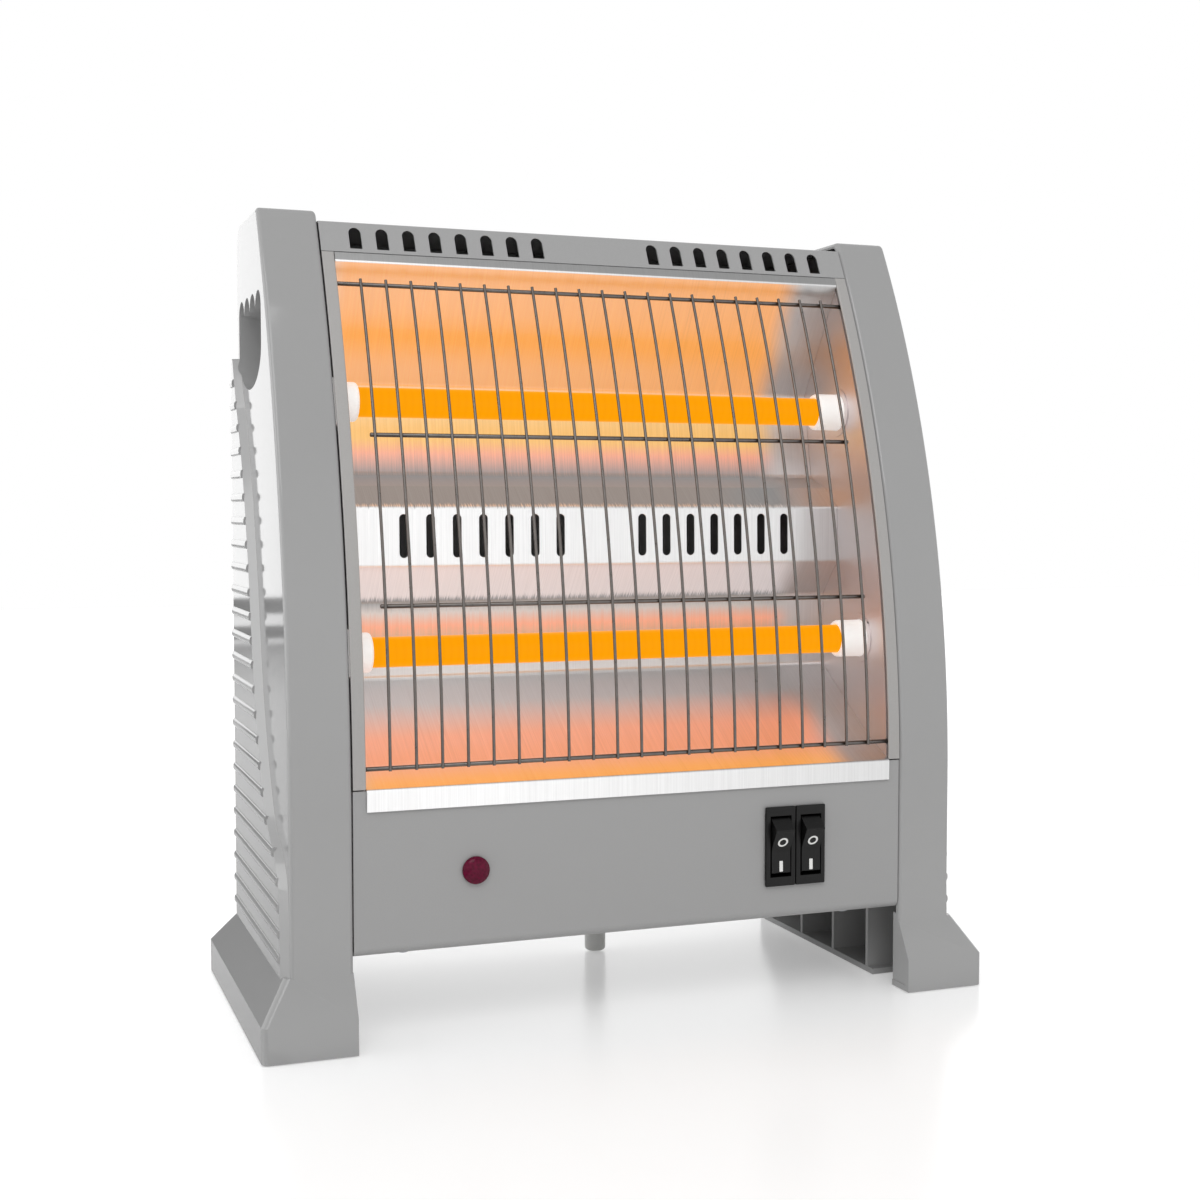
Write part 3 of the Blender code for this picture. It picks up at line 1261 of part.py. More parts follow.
COVER_PLASTIC = material("moulded grey plastic", (0.36, 0.36, 0.36), 0.35)
PAINT = material("grey painted steel", (0.33, 0.33, 0.33), 0.40)
BRUSHED_ALUMINIUM = material("brushed aluminium", (0.80, 0.80, 0.80), 0.30, 1.0)
BRIGHT_ALUMINIUM = material("polished aluminium", (0.86, 0.86, 0.86), 0.15, 1.0)
STEEL = material("plated steel", (0.50, 0.50, 0.50), 0.30, 1.0)
QUARTZ = material("glowing quartz", (1.00, 0.37, 0.00), 0.20)
HOT_WIRE = material("resistance wire", (0.80, 0.35, 0.10), 0.50, 1.0)
CERAMIC = material("white ceramic", (0.85, 0.83, 0.80), 0.45)
BLACK_PLASTIC = material("black plastic", (0.02, 0.02, 0.02), 0.40)
WHITE_PLASTIC = material("white plastic", (0.75, 0.75, 0.75), 0.40)
RED_LENS = material("dark red lens", (0.12, 0.00, 0.03), 0.15)

make_covers()
make_trim_strips()
make_end_plates()
make_reflector()
make_top_panel()
make_back_panel()
make_lower_panel()
make_base_plate()
for tube_row, tube_place in TUBE_PLACES.items():
    make_element(tube_row, tube_place)
make_guard()
make_switch(SWITCH_X, "left")
make_switch(SWITCH_X + SWITCH_PITCH, "right")
make_indicator()
make_tip_switch()
make_inner_parts()
make_screws()
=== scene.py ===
import json
import math

import bmesh
import bpy
from mathutils import Matrix, Vector


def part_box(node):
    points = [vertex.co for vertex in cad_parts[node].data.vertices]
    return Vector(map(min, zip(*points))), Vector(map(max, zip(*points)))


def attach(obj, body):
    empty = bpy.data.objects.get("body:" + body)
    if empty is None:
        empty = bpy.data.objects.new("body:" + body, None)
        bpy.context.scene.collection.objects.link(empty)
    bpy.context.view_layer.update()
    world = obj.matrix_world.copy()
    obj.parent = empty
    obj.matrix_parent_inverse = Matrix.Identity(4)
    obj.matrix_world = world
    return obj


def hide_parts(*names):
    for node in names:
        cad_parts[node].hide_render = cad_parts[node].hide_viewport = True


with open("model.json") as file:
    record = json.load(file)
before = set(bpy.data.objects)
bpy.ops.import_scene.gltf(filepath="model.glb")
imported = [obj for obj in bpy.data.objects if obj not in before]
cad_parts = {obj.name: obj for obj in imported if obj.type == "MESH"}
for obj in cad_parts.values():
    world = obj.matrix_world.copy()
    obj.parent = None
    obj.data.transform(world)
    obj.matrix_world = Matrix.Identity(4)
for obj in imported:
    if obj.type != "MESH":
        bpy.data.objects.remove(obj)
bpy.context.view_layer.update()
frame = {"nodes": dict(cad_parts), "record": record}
scene = bpy.context.scene
print("frame loaded:", len(frame["nodes"]), "nodes")

# Lengths are in metres. The origin is on the floor, X to the right, Y to the back.
shell = {
    "halfDepth": 0.074,
    "height": 0.3375,
    "innerX": 0.1225,  # where a cover meets the bay
    "outerX": 0.1475,
    "frontSet": 0.0087,  # cover's front behind the foot's front
    "rearY": 0.056,
    "rearLean": 0.013,
    "rearFootZ": 0.0303,
    "bowStart": 0.092,
    "bowRadius": 0.510,
    "gap": 0.0003,
}


def fromFront(distance):
    return distance - shell["halfDepth"]


def bowY(z, inset=0.0):
    rise = max(z - shell["bowStart"], 0.0)
    front = fromFront(shell["frontSet"]) + shell["bowRadius"]
    return front - math.sqrt((shell["bowRadius"] - inset) ** 2 - rise**2)


def rearY(z, inset=0.0):
    return shell["rearY"] - shell["rearLean"] * (z - shell["rearFootZ"]) - inset


def arc(centre, radius, start, end, steps):
    angles = [math.radians(start + (end - start) * i / steps) for i in range(steps + 1)]
    return [Vector((centre[0] + radius * math.cos(a), centre[1] + radius * math.sin(a))) for a in angles]


def circle(centre, radius, steps=32):
    return arc(centre, radius, 0, 360 - 360 / steps, steps - 1)


def rounded(corners, closed=True, steps=6):
    path = []
    for i, (a, b, radius) in enumerate(corners):
        here = Vector((a, b))
        if radius == 0 or (not closed and i in (0, len(corners) - 1)):
            path.append(here)
            continue
        back = (Vector(corners[i - 1][:2]) - here).normalized()
        ahead = (Vector(corners[(i + 1) % len(corners)][:2]) - here).normalized()
        half = back.angle(ahead) / 2
        centre = here + (back + ahead).normalized() * (radius / math.sin(half))
        start = here + back * (radius / math.tan(half)) - centre
        turn = math.pi - 2 * half
        if back.x * ahead.y - back.y * ahead.x > 0:
            turn = -turn
        for step in range(steps + 1):
            angle = turn * step / steps
            cos, sin = math.cos(angle), math.sin(angle)
            path.append(centre + Vector((start.x * cos - start.y * sin, start.x * sin + start.y * cos)))
    return path


def smoothCurve(points, steps=6):
    ends = [Vector(point) for point in (points[0], *points, points[-1])]
    path = []
    for a, b, c, d in zip(ends, ends[1:], ends[2:], ends[3:]):
        for i in range(steps):
            t = i / steps
            bend = (2 * a - 5 * b + 4 * c - d) * t**2
            twist = (3 * b - a - 3 * c + d) * t**3
            path.append((2 * b + (c - a) * t + bend + twist) / 2)
    return [*path, ends[-1]]


def linkMesh(name, mesh):
    made = bpy.data.objects.new(name, mesh)
    scene.collection.objects.link(made)
    return made


def settle(made):
    # what an object evaluates to becomes its own mesh, at the origin, without modifiers
    bpy.context.view_layer.update()
    graph = bpy.context.evaluated_depsgraph_get()
    mesh = bpy.data.meshes.new_from_object(made.evaluated_get(graph))
    mesh.transform(made.matrix_world)
    name = made.name
    bpy.data.objects.remove(made)
    mesh.name = name
    return linkMesh(name, mesh)


def mergeDoubles(made, distance=2e-6):
    bm = bmesh.new()
    bm.from_mesh(made.data)
    bmesh.ops.remove_doubles(bm, verts=bm.verts, dist=distance)
    bm.to_mesh(made.data)
    bm.free()
    return made


def plate(name, outlines, axis, low, high):
    curve = bpy.data.curves.new(name, "CURVE")
    curve.dimensions = "2D"
    curve.fill_mode = "BOTH"
    curve.extrude = (high - low) / 2
    for outline in outlines:
        spline = curve.splines.new("POLY")
        spline.points.add(len(outline) - 1)
        for point, (a, b) in zip(spline.points, outline):
            point.co = (a, b, 0, 1)
        spline.use_cyclic_u = True
    turns = {
        "X": Matrix(((0, 0, 1), (1, 0, 0), (0, 1, 0))),
        "Y": Matrix(((1, 0, 0), (0, 0, -1), (0, 1, 0))),
        "Z": Matrix.Identity(3),
    }
    made = linkMesh(name, curve)
    middle = Vector([(low + high) / 2 * (letter == axis) for letter in "XYZ"])
    made.matrix_world = Matrix.Translation(middle) @ turns[axis].to_4x4()
    return mergeDoubles(settle(made))


def loft(name, rings, closedEnds=True):
    bm = bmesh.new()
    loops = [[bm.verts.new(point) for point in ring] for ring in rings]
    for first, second in zip(loops, loops[1:]):
        for i, vert in enumerate(first):
            j = (i + 1) % len(first)
            bm.faces.new((vert, first[j], second[j], second[i]))
    if closedEnds:
        bm.faces.new(reversed(loops[0]))
        bm.faces.new(loops[-1])
    bmesh.ops.recalc_face_normals(bm, faces=bm.faces)
    mesh = bpy.data.meshes.new(name)
    bm.to_mesh(mesh)
    bm.free()
    return linkMesh(name, mesh)


def box(name, low, high):
    low, high = Vector(low), Vector(high)
    corners = [(low.x, low.y), (high.x, low.y), (high.x, high.y), (low.x, high.y)]
    return loft(name, [[(x, y, z) for x, y in corners] for z in (low.z, high.z)])


def turned(name, profile, place, along, sides=48):
    # (radius, height) points, from the top down the outer side; both ends on the axis or a closed ring
    bm = bmesh.new()
    onAxis = profile[0][0] == 0
    rings = []
    for radius, height in profile:
        if radius == 0:
            rings.append([bm.verts.new((0, 0, height))])
            continue
        turns = [2 * math.pi * i / sides for i in range(sides)]
        rings.append([bm.verts.new((radius * math.cos(a), radius * math.sin(a), height)) for a in turns])
    pairs = list(zip(rings, rings[1:]))
    if not onAxis:
        pairs.append((rings[-1], rings[0]))
    for upper, lower in pairs:
        for i in range(sides):
            j = (i + 1) % sides
            corners = [
                upper[i % len(upper)], lower[i % len(lower)], lower[j % len(lower)], upper[j % len(upper)]
            ]
            bm.faces.new(list(dict.fromkeys(corners)))
    bmesh.ops.recalc_face_normals(bm, faces=bm.faces)
    mesh = bpy.data.meshes.new(name)
    bm.to_mesh(mesh)
    bm.free()
    turn = Vector(along).to_track_quat("Z", "Y").to_matrix().to_4x4()
    mesh.transform(Matrix.Translation(place) @ turn)
    return linkMesh(name, mesh)


def rod(name, start, end, radius, sides=32):
    start, end = Vector(start), Vector(end)
    length = (end - start).length
    profile = [(0, length), (radius, length), (radius, 0), (0, 0)]
    return turned(name, profile, start, end - start, sides)


def combine(target, others, operation):
    for other in others:
        modifier = target.modifiers.new("Solid", "BOOLEAN")
        modifier.operation = operation
        modifier.object = other
        modifier.solver = "EXACT"
    made = settle(target)
    for other in others:
        bpy.data.objects.remove(other)
    return mergeDoubles(made)


def bentSheet(name, path, thickness, halfWidth):
    # the thickness lies to the left of the way the path runs
    bm = bmesh.new()
    left = [bm.verts.new((-halfWidth, y, z)) for y, z in path]
    right = [bm.verts.new((halfWidth, y, z)) for y, z in path]
    for i in range(len(path) - 1):
        bm.faces.new((left[i], left[i + 1], right[i + 1], right[i]))
    mesh = bpy.data.meshes.new(name)
    bm.to_mesh(mesh)
    bm.free()
    made = linkMesh(name, mesh)
    solid = made.modifiers.new("Sheet", "SOLIDIFY")
    solid.thickness = thickness
    solid.offset = -1
    solid.use_even_offset = True
    return settle(made)


def softEdges(made, width, segments=2, angle=35):
    if width:
        bevel = made.modifiers.new("Edges", "BEVEL")
        bevel.width = width
        bevel.segments = segments
        bevel.limit_method = "ANGLE"
        bevel.angle_limit = math.radians(angle)
        bevel.use_clamp_overlap = True
        bevel.miter_outer = "MITER_ARC"
        made = settle(made)
    made.data.shade_smooth()
    made.data.set_sharp_from_angle(angle=math.radians(30))
    normals = made.modifiers.new("Normals", "WEIGHTED_NORMAL")
    normals.keep_sharp = True
    normals.weight = 100
    return settle(made)


def mirrorTwin(made, name):
    mesh = made.data.copy()
    mesh.transform(Matrix.Diagonal((-1, 1, 1, 1)))
    mesh.flip_normals()
    mesh.name = name
    # its smooth normals are worked out anew
    if "custom_normal" in mesh.attributes:
        mesh.attributes.remove(mesh.attributes["custom_normal"])
    return softEdges(linkMesh(name, mesh), 0)


def fitPiece(made, finish, nodeNames, body="root"):
    made.data.materials.clear()
    made.data.materials.append(finish)
    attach(made, body)
    if nodeNames:
        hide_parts(*nodeNames)
    return made


def hexColour(text):
    values = [int(text[i : i + 2], 16) / 255 for i in (1, 3, 5)]
    return (*[v / 12.92 if v <= 0.04045 else ((v + 0.055) / 1.055) ** 2.4 for v in values], 1.0)


def addNode(tree, kind, inputs=None, **settings):
    node = tree.nodes.new(kind)
    for key, value in settings.items():
        setattr(node, key, value)
    for socket, value in (inputs or {}).items():
        if isinstance(value, bpy.types.NodeSocket):
            tree.links.new(value, node.inputs[socket])
        else:
            node.inputs[socket].default_value = value
    return node


def startMaterial(name):
    made = bpy.data.materials.new(name)
    made.use_nodes = True
    made.node_tree.nodes.clear()
    return made, made.node_tree


def endMaterial(tree, shader):
    addNode(tree, "ShaderNodeOutputMaterial", {"Surface": shader})


def moulded(name, colour, roughness, grainMm, grainDepth, specular=0.5, spread=0.04, glow=0.0):
    # injection-moulded plastic: a fine spark-eroded grain that breaks the gloss, and faint flow shading
    made, tree = startMaterial(name)
    place = addNode(tree, "ShaderNodeTexCoord").outputs["Object"]
    grain = addNode(
        tree, "ShaderNodeTexNoise", {
            "Vector": place, "Scale": 1000 / grainMm, "Detail": 3.0, "Roughness": 0.6
        }
    )
    flow = addNode(tree, "ShaderNodeTexNoise", {"Vector": place, "Scale": 9.0, "Detail": 2.0})
    tone = addNode(
        tree,
        "ShaderNodeMapRange",
        {
            "Value": flow.outputs["Fac"],
            "From Min": 0.3,
            "From Max": 0.7,
            "To Min": 1 - spread,
            "To Max": 1 + spread,
        },
    )
    tinted = addNode(
        tree, "ShaderNodeVectorMath", {
            0: hexColour(colour)[:3], "Scale": tone.outputs[0]
        }, operation="SCALE"
    )
    gloss = addNode(
        tree,
        "ShaderNodeMapRange",
        {"Value": grain.outputs["Fac"], "To Min": roughness - 0.05, "To Max": roughness + 0.05},
    )
    bump = addNode(
        tree, "ShaderNodeBump", { "Height": grain.outputs["Fac"], "Strength": 0.25, "Distance": grainDepth }
    )
    # glow paints light in: an emission of the plastic's own colour
    shader = addNode(
        tree,
        "ShaderNodeBsdfPrincipled",
        {
            "Base Color": tinted.outputs[0],
            "Roughness": gloss.outputs[0],
            "Normal": bump.outputs[0],
            "IOR": 1.5,
            "Specular IOR Level": specular,
            "Emission Color": hexColour(colour),
            "Emission Strength": glow,
        },
    )
    endMaterial(tree, shader.outputs[0])
    return made


def powderCoated(name, colour):
    # polyester powder on sheet steel: orange peel about 1.5 mm across under a satin gloss
    made, tree = startMaterial(name)
    place = addNode(tree, "ShaderNodeTexCoord").outputs["Object"]
    peel = addNode(tree, "ShaderNodeTexNoise", {"Vector": place, "Scale": 650.0, "Detail": 2.0})
    speck = addNode(tree, "ShaderNodeTexNoise", {"Vector": place, "Scale": 2600.0, "Detail": 1.0})
    tone = addNode(
        tree,
        "ShaderNodeMapRange",
        {"Value": speck.outputs["Fac"], "From Min": 0.3, "From Max": 0.7, "To Min": 0.965, "To Max": 1.035},
    )
    tinted = addNode(
        tree, "ShaderNodeVectorMath", {
            0: hexColour(colour)[:3], "Scale": tone.outputs[0]
        }, operation="SCALE"
    )
    bump = addNode(
        tree, "ShaderNodeBump", {"Height": peel.outputs["Fac"], "Strength": 0.2, "Distance": 0.00005}
    )
    shader = addNode(
        tree,
        "ShaderNodeBsdfPrincipled",
        {"Base Color": tinted.outputs[0], "Roughness": 0.38, "Normal": bump.outputs[0], "IOR": 1.52},
    )
    endMaterial(tree, shader.outputs[0])
    return made


def brushedMetal(name, light, dark, roughness, streakMm, glow=None, shade=None):
    # rolled and brushed aluminium: upright hairlines, drawn coarser than the real 0.1 mm so that they show
    made, tree = startMaterial(name)
    place = addNode(tree, "ShaderNodeTexCoord").outputs["Object"]
    parts = addNode(tree, "ShaderNodeSeparateXYZ", {"Vector": place}).outputs
    stretch = addNode(tree, "ShaderNodeMapping", {"Vector": place, "Scale": (1000 / streakMm, 9.0, 22.0)})
    streak = addNode(
        tree, "ShaderNodeTexNoise", {
            "Vector": stretch.outputs[0], "Scale": 1.0, "Detail": 4.0, "Roughness": 0.65
        }
    ).outputs["Fac"]
    base = addNode(
        tree, "ShaderNodeMix", {"Factor": streak, 6: hexColour(dark), 7: hexColour(light)}, data_type="RGBA"
    )
    coloured = base.outputs[2]
    if shade:
        # painted shade: the base colour darkens towards the sheet's far end, which faces the dark side of
        # the room
        across = addNode(
            tree,
            "ShaderNodeMapRange",
            {
                "Value": parts["X"],
                "From Min": shade["from"],
                "From Max": shade["to"],
                "To Max": shade["level"],
                "To Min": 1.0,
            },
        )
        # and painted shade darkens its lip, which lies under the top panel
        under = addNode(tree, "ShaderNodeMath", {0: parts["Z"], 1: shade["lipZ"]}, operation="GREATER_THAN")
        lip = addNode(
            tree,
            "ShaderNodeMix",
            {"Factor": under.outputs[0], "A": across.outputs[0], "B": shade["lipShadeLevel"]},
        )
        coloured = addNode(
            tree, "ShaderNodeVectorMath", {0: coloured, "Scale": lip.outputs[0]}, operation="SCALE"
        ).outputs[0]
    gloss = addNode(
        tree,
        "ShaderNodeMapRange",
        {"Value": streak, "To Min": roughness - 0.08, "To Max": roughness + 0.10},
    )
    bump = addNode(tree, "ShaderNodeBump", {"Height": streak, "Strength": 0.3, "Distance": 0.00005})
    sockets = {
        "Base Color": coloured, "Metallic": 1.0, "Roughness": gloss.outputs[0], "Normal": bump.outputs[0]
    }
    if glow:
        # painted reflection of the tubes: emission added by height, and the base colour dimmed there, as
        # the sheet mirrors less of the room where it mirrors a tube
        sockets["Emission Color"], sockets["Emission Strength"], room = paintedTubeReflection(tree, parts, streak, glow)
        dimmed = addNode(tree, "ShaderNodeVectorMath", {0: coloured, "Scale": room}, operation="SCALE")
        sockets["Base Color"] = dimmed.outputs[0]
    shader = addNode(tree, "ShaderNodeBsdfPrincipled", sockets)
    endMaterial(tree, shader.outputs[0])
    return made


def plainMetal(name, colour, roughness, grainMm):
    # plated or drawn steel: a faint mottle from the plating bath
    made, tree = startMaterial(name)
    place = addNode(tree, "ShaderNodeTexCoord").outputs["Object"]
    mottle = addNode(tree, "ShaderNodeTexNoise", {"Vector": place, "Scale": 1000 / grainMm, "Detail": 4.0})
    tone = addNode(
        tree,
        "ShaderNodeMapRange",
        {"Value": mottle.outputs["Fac"], "From Min": 0.3, "From Max": 0.7, "To Min": 0.86, "To Max": 1.1},
    )
    tinted = addNode(
        tree, "ShaderNodeVectorMath", {
            0: hexColour(colour)[:3], "Scale": tone.outputs[0]
        }, operation="SCALE"
    )
    gloss = addNode(
        tree,
        "ShaderNodeMapRange",
        {"Value": mottle.outputs["Fac"], "To Min": roughness - 0.08, "To Max": roughness + 0.08},
    )
    bump = addNode(
        tree, "ShaderNodeBump", {"Height": mottle.outputs["Fac"], "Strength": 0.15, "Distance": 0.00003}
    )
    shader = addNode(
        tree,
        "ShaderNodeBsdfPrincipled",
        {
            "Base Color": tinted.outputs[0],
            "Metallic": 1.0,
            "Roughness": gloss.outputs[0],
            "Normal": bump.outputs[0],
        },
    )
    endMaterial(tree, shader.outputs[0])
    return made


def paintedTubeReflection(tree, parts, streak, glow):
    # painted reflection of the tubes: emission by height, standing in for the light that the sheet throws
    # back of them; the hairlines break up its edges
    loose = addNode(
        tree, "ShaderNodeMath", {0: streak, 1: glow["fray"], 2: parts["Z"]}, operation="MULTIPLY_ADD"
    )
    height = addNode(
        tree,
        "ShaderNodeMapRange",
        {
            "Value": loose.outputs[0],
            "From Min": glow["low"] + glow["fray"] / 2,
            "From Max": glow["high"] + glow["fray"] / 2,
        },
    )
    ramp = addNode(tree, "ShaderNodeValToRGB", {"Fac": height.outputs[0]})
    stops = ramp.color_ramp.elements
    for i, (z, tint) in enumerate(glow["stops"]):
        colour, kept = glow["tints"][tint]
        at = (z - glow["low"]) / (glow["high"] - glow["low"])
        stop = stops[i] if i < 2 else stops.new(at)
        stop.position = at
        stop.color = (*hexColour(colour)[:3], kept)
    side = addNode(tree, "ShaderNodeMath", {0: parts["X"], 1: glow["middleX"]}, operation="SUBTRACT")
    away = addNode(tree, "ShaderNodeMath", {0: side.outputs[0]}, operation="ABSOLUTE")
    reach = addNode(
        tree,
        "ShaderNodeMapRange",
        {
            "Value": away.outputs[0],
            "From Min": glow["halfLength"],
            "From Max": glow["halfLength"] + glow["fade"],
            "To Min": 1.0,
            "To Max": 0.0,
        },
        interpolation_type="SMOOTHSTEP",
    )
    grain = addNode(
        tree, "ShaderNodeMapRange", {
            "Value": streak, "From Min": 0.25, "From Max": 0.75, "To Min": 0.88, "To Max": 1.12
        }
    )
    strength = addNode(
        tree, "ShaderNodeMath", {0: reach.outputs[0], 1: grain.outputs[0]}, operation="MULTIPLY"
    )
    lit = addNode(tree, "ShaderNodeAttribute", attribute_name="lit")
    fronts = addNode(
        tree, "ShaderNodeMath", {0: strength.outputs[0], 1: lit.outputs["Fac"]}, operation="MULTIPLY"
    )
    shared = addNode(
        tree, "ShaderNodeMath", {0: reach.outputs[0], 1: lit.outputs["Fac"]}, operation="MULTIPLY"
    )
    room = addNode(
        tree, "ShaderNodeMix", {"Factor": shared.outputs[0], "A": 1.0, "B": ramp.outputs["Alpha"]}
    ).outputs[0]
    return ramp.outputs["Color"], fronts.outputs[0], room


def glowingQuartz(name):
    # fused quartz tube at working heat: an even amber glow, a little deeper towards its ends
    made, tree = startMaterial(name)
    place = addNode(tree, "ShaderNodeTexCoord").outputs["Object"]
    parts = addNode(tree, "ShaderNodeSeparateXYZ", {"Vector": place})
    side = addNode(tree, "ShaderNodeMath", {0: parts.outputs["X"]}, operation="ABSOLUTE")
    turns = addNode(
        tree, "ShaderNodeTexWave", {"Vector": place, "Scale": 95.0, "Distortion": 0.4}, bands_direction="X"
    )
    edge = addNode(
        tree,
        "ShaderNodeMapRange",
        {"Value": side.outputs[0], "From Min": 0.104, "From Max": 0.112, "To Min": 1.0, "To Max": 0.9},
    )
    ripple = addNode(
        tree, "ShaderNodeMapRange", {"Value": turns.outputs["Fac"], "To Min": 0.985, "To Max": 1.015}
    )
    level = addNode(
        tree, "ShaderNodeMath", {0: edge.outputs[0], 1: ripple.outputs[0]}, operation="MULTIPLY"
    )
    shader = addNode(
        tree,
        "ShaderNodeBsdfPrincipled",
        {
            "Base Color": (0.0, 0.0, 0.0, 1.0),
            "Roughness": 0.3,
            "Specular IOR Level": 0.05,
            "Emission Color": hexColour("#ffa100"),
            "Emission Strength": level.outputs[0],
        },
    )
    endMaterial(tree, shader.outputs[0])
    return made


def crimsonLens(name):
    # dark crimson polycarbonate over an unlit neon: light comes back from its facets only
    made, tree = startMaterial(name)
    place = addNode(tree, "ShaderNodeTexCoord").outputs["Object"]
    facets = addNode(tree, "ShaderNodeTexVoronoi", {"Vector": place, "Scale": 900.0})
    shade = addNode(
        tree,
        "ShaderNodeMix",
        {"Factor": facets.outputs["Distance"], 6: hexColour("#4c0220"), 7: hexColour("#700834")},
        data_type="RGBA",
    )
    bump = addNode(
        tree, "ShaderNodeBump", {"Height": facets.outputs["Distance"], "Strength": 0.2, "Distance": 0.0001}
    )
    shader = addNode(
        tree,
        "ShaderNodeBsdfPrincipled",
        {
            "Base Color": shade.outputs[2],
            "Roughness": 0.12,
            "IOR": 1.58,
            "Specular IOR Level": 0.12,
            "Normal": bump.outputs[0],
        },
    )
    endMaterial(tree, shader.outputs[0])
    return made


coverAbs = moulded("moulded grey ABS", "#a8a8a8", 0.07, 0.9, 0.00001, spread=0.02)
panelPaint = powderCoated("grey powder-coated steel", "#a9a9a9")
trimPaint = powderCoated("shaded powder-coated steel", "#b0aeac")
paintedTubeGlow = {
    "low": 0.1020,
    "high": 0.3160,
    "fray": 0.006,
    "middleX": -0.012,
    "halfLength": 0.098,
    "fade": 0.016,
    # the painted light (emission) that each band adds for the tubes' reflection, and the share of the room
    # that the sheet still mirrors under it
    "tints": {
        "amber": ("#e09038", 0.35),
        "gold": ("#d8a858", 0.35),
        "salmon": ("#d07a58", 0.40),
        "pale": ("#707070", 0.90),
        "bright": ("#b0a8a8", 0.60),
        "dim": ("#808080", 0.12),
        "bare": ("#303030", 0.80),
    },
    # painted tube reflections by the sheet's folds, from the lip up: warm above and below each tube, plain
    # metal between the troughs; the dim band is painted shade
    "stops": (
        (0.1040, "amber"),
        (0.1095, "salmon"),
        (0.1180, "salmon"),
        (0.1300, "bare"),
        (0.1560, "bare"),
        (0.1620, "salmon"),
        (0.1680, "bare"),
        (0.1730, "dim"),
        (0.1750, "bright"),
        (0.1870, "bright"),
        (0.1887, "pale"),
        (0.2135, "pale"),
        (0.2145, "dim"),
        (0.2276, "dim"),
        (0.2370, "salmon"),
        (0.2430, "gold"),
        (0.2560, "gold"),
        (0.2670, "amber"),
        (0.3150, "amber"),
    ),
}
# painted shade on the reflector sheet: darker towards its right-hand end and on its lip
sheetShade = {"from": -0.070, "to": 0.115, "level": 0.75, "lipZ": 0.3160, "lipShadeLevel": 0.45}
# the reflector's finish carries painted light: tube reflections as emission by height, and painted shade
# across the sheet and on its lip
reflectorWithPaintedLight = brushedMetal(
    "brushed reflector aluminium", "#ffffff", "#dedede", 0.36, 0.55, paintedTubeGlow, sheetShade
)
# the faint pink in these colours is painted warm light from the tubes
cheekAluminium = brushedMetal("bright rolled aluminium", "#e8e0e0", "#d4cccc", 0.42, 1.2)
guardNickel = plainMetal("nickel-plated guard wire", "#6b6764", 0.30, 3.0)
zincSteel = plainMetal("zinc-plated steel", "#b9bcc0", 0.36, 2.0)
springSteel = plainMetal("spring steel", "#9a9a9a", 0.32, 2.0)
resistanceWire = plainMetal("resistance wire", "#c77a3a", 0.5, 1.0)
# painted glow: the ceramic emits light of its own colour, standing in for tube light that spreads through
# the thin ceramic
steatite = moulded("steatite ceramic", "#f6f4f1", 0.35, 0.8, 0.00003, spread=0.02, glow=0.35)
blackNylon = moulded("black nylon", "#101010", 0.34, 0.6, 0.00003, specular=0.25, spread=0.08)
whiteNylon = moulded("white nylon", "#f4f4f1", 0.35, 0.8, 0.00003, spread=0.02)
padPrint = moulded("white pad-printed ink", "#f8f8f6", 0.55, 0.4, 0.00001, spread=0.02)
tubeQuartz = glowingQuartz("glowing quartz")
lensCrimson = crimsonLens("crimson polycarbonate")

slotFinish = {
    "cover_plastic": coverAbs,
    "painted_sheet": panelPaint,
    "reflector_aluminium": cheekAluminium,
    "quartz_glow": tubeQuartz,
    "heating_wire": resistanceWire,
    "ceramic": steatite,
    "plated_steel": zincSteel,
    "guard_wire": guardNickel,
    "black_plastic": blackNylon,
    "white_plastic": whiteNylon,
    "red_lens": lensCrimson,
}
slotOf = {part["node"]: part["material_slot"] for part in frame["record"]["subparts"]}
for nodeName, node in frame["nodes"].items():
    node.data.materials.clear()
    node.data.materials.append(slotFinish[slotOf[nodeName]])
print("materials ready")


def startTree(name, sockets):
    tree = bpy.data.node_groups.new(name, "GeometryNodeTree")
    tree.interface.new_socket("Geometry", in_out="INPUT", socket_type="NodeSocketGeometry")
    tree.interface.new_socket("Geometry", in_out="OUTPUT", socket_type="NodeSocketGeometry")
    for label, kind, value in [*sockets, ("Finish", "Material", None)]:
        socket = tree.interface.new_socket(label, in_out="INPUT", socket_type="NodeSocket" + kind)
        if value is not None:
            socket.default_value = value
    return tree, addNode(tree, "NodeGroupInput").outputs


def endTree(tree, geometry, finish):
    real = addNode(tree, "GeometryNodeRealizeInstances", {"Geometry": geometry})
    painted = addNode(tree, "GeometryNodeSetMaterial", {"Geometry": real.outputs[0], "Material": finish})
    addNode(tree, "NodeGroupOutput", {"Geometry": painted.outputs[0]})
    return tree


def growTree(made, tree, values):
    # runs a tree on an object and keeps the plain mesh that comes of it
    modifier = made.modifiers.new("Tree", "NODES")
    modifier.node_group = tree
    for item in tree.interface.items_tree:
        if item.item_type == "SOCKET" and item.in_out == "INPUT" and item.name in values:
            modifier[item.identifier] = values[item.name]
    return settle(made)


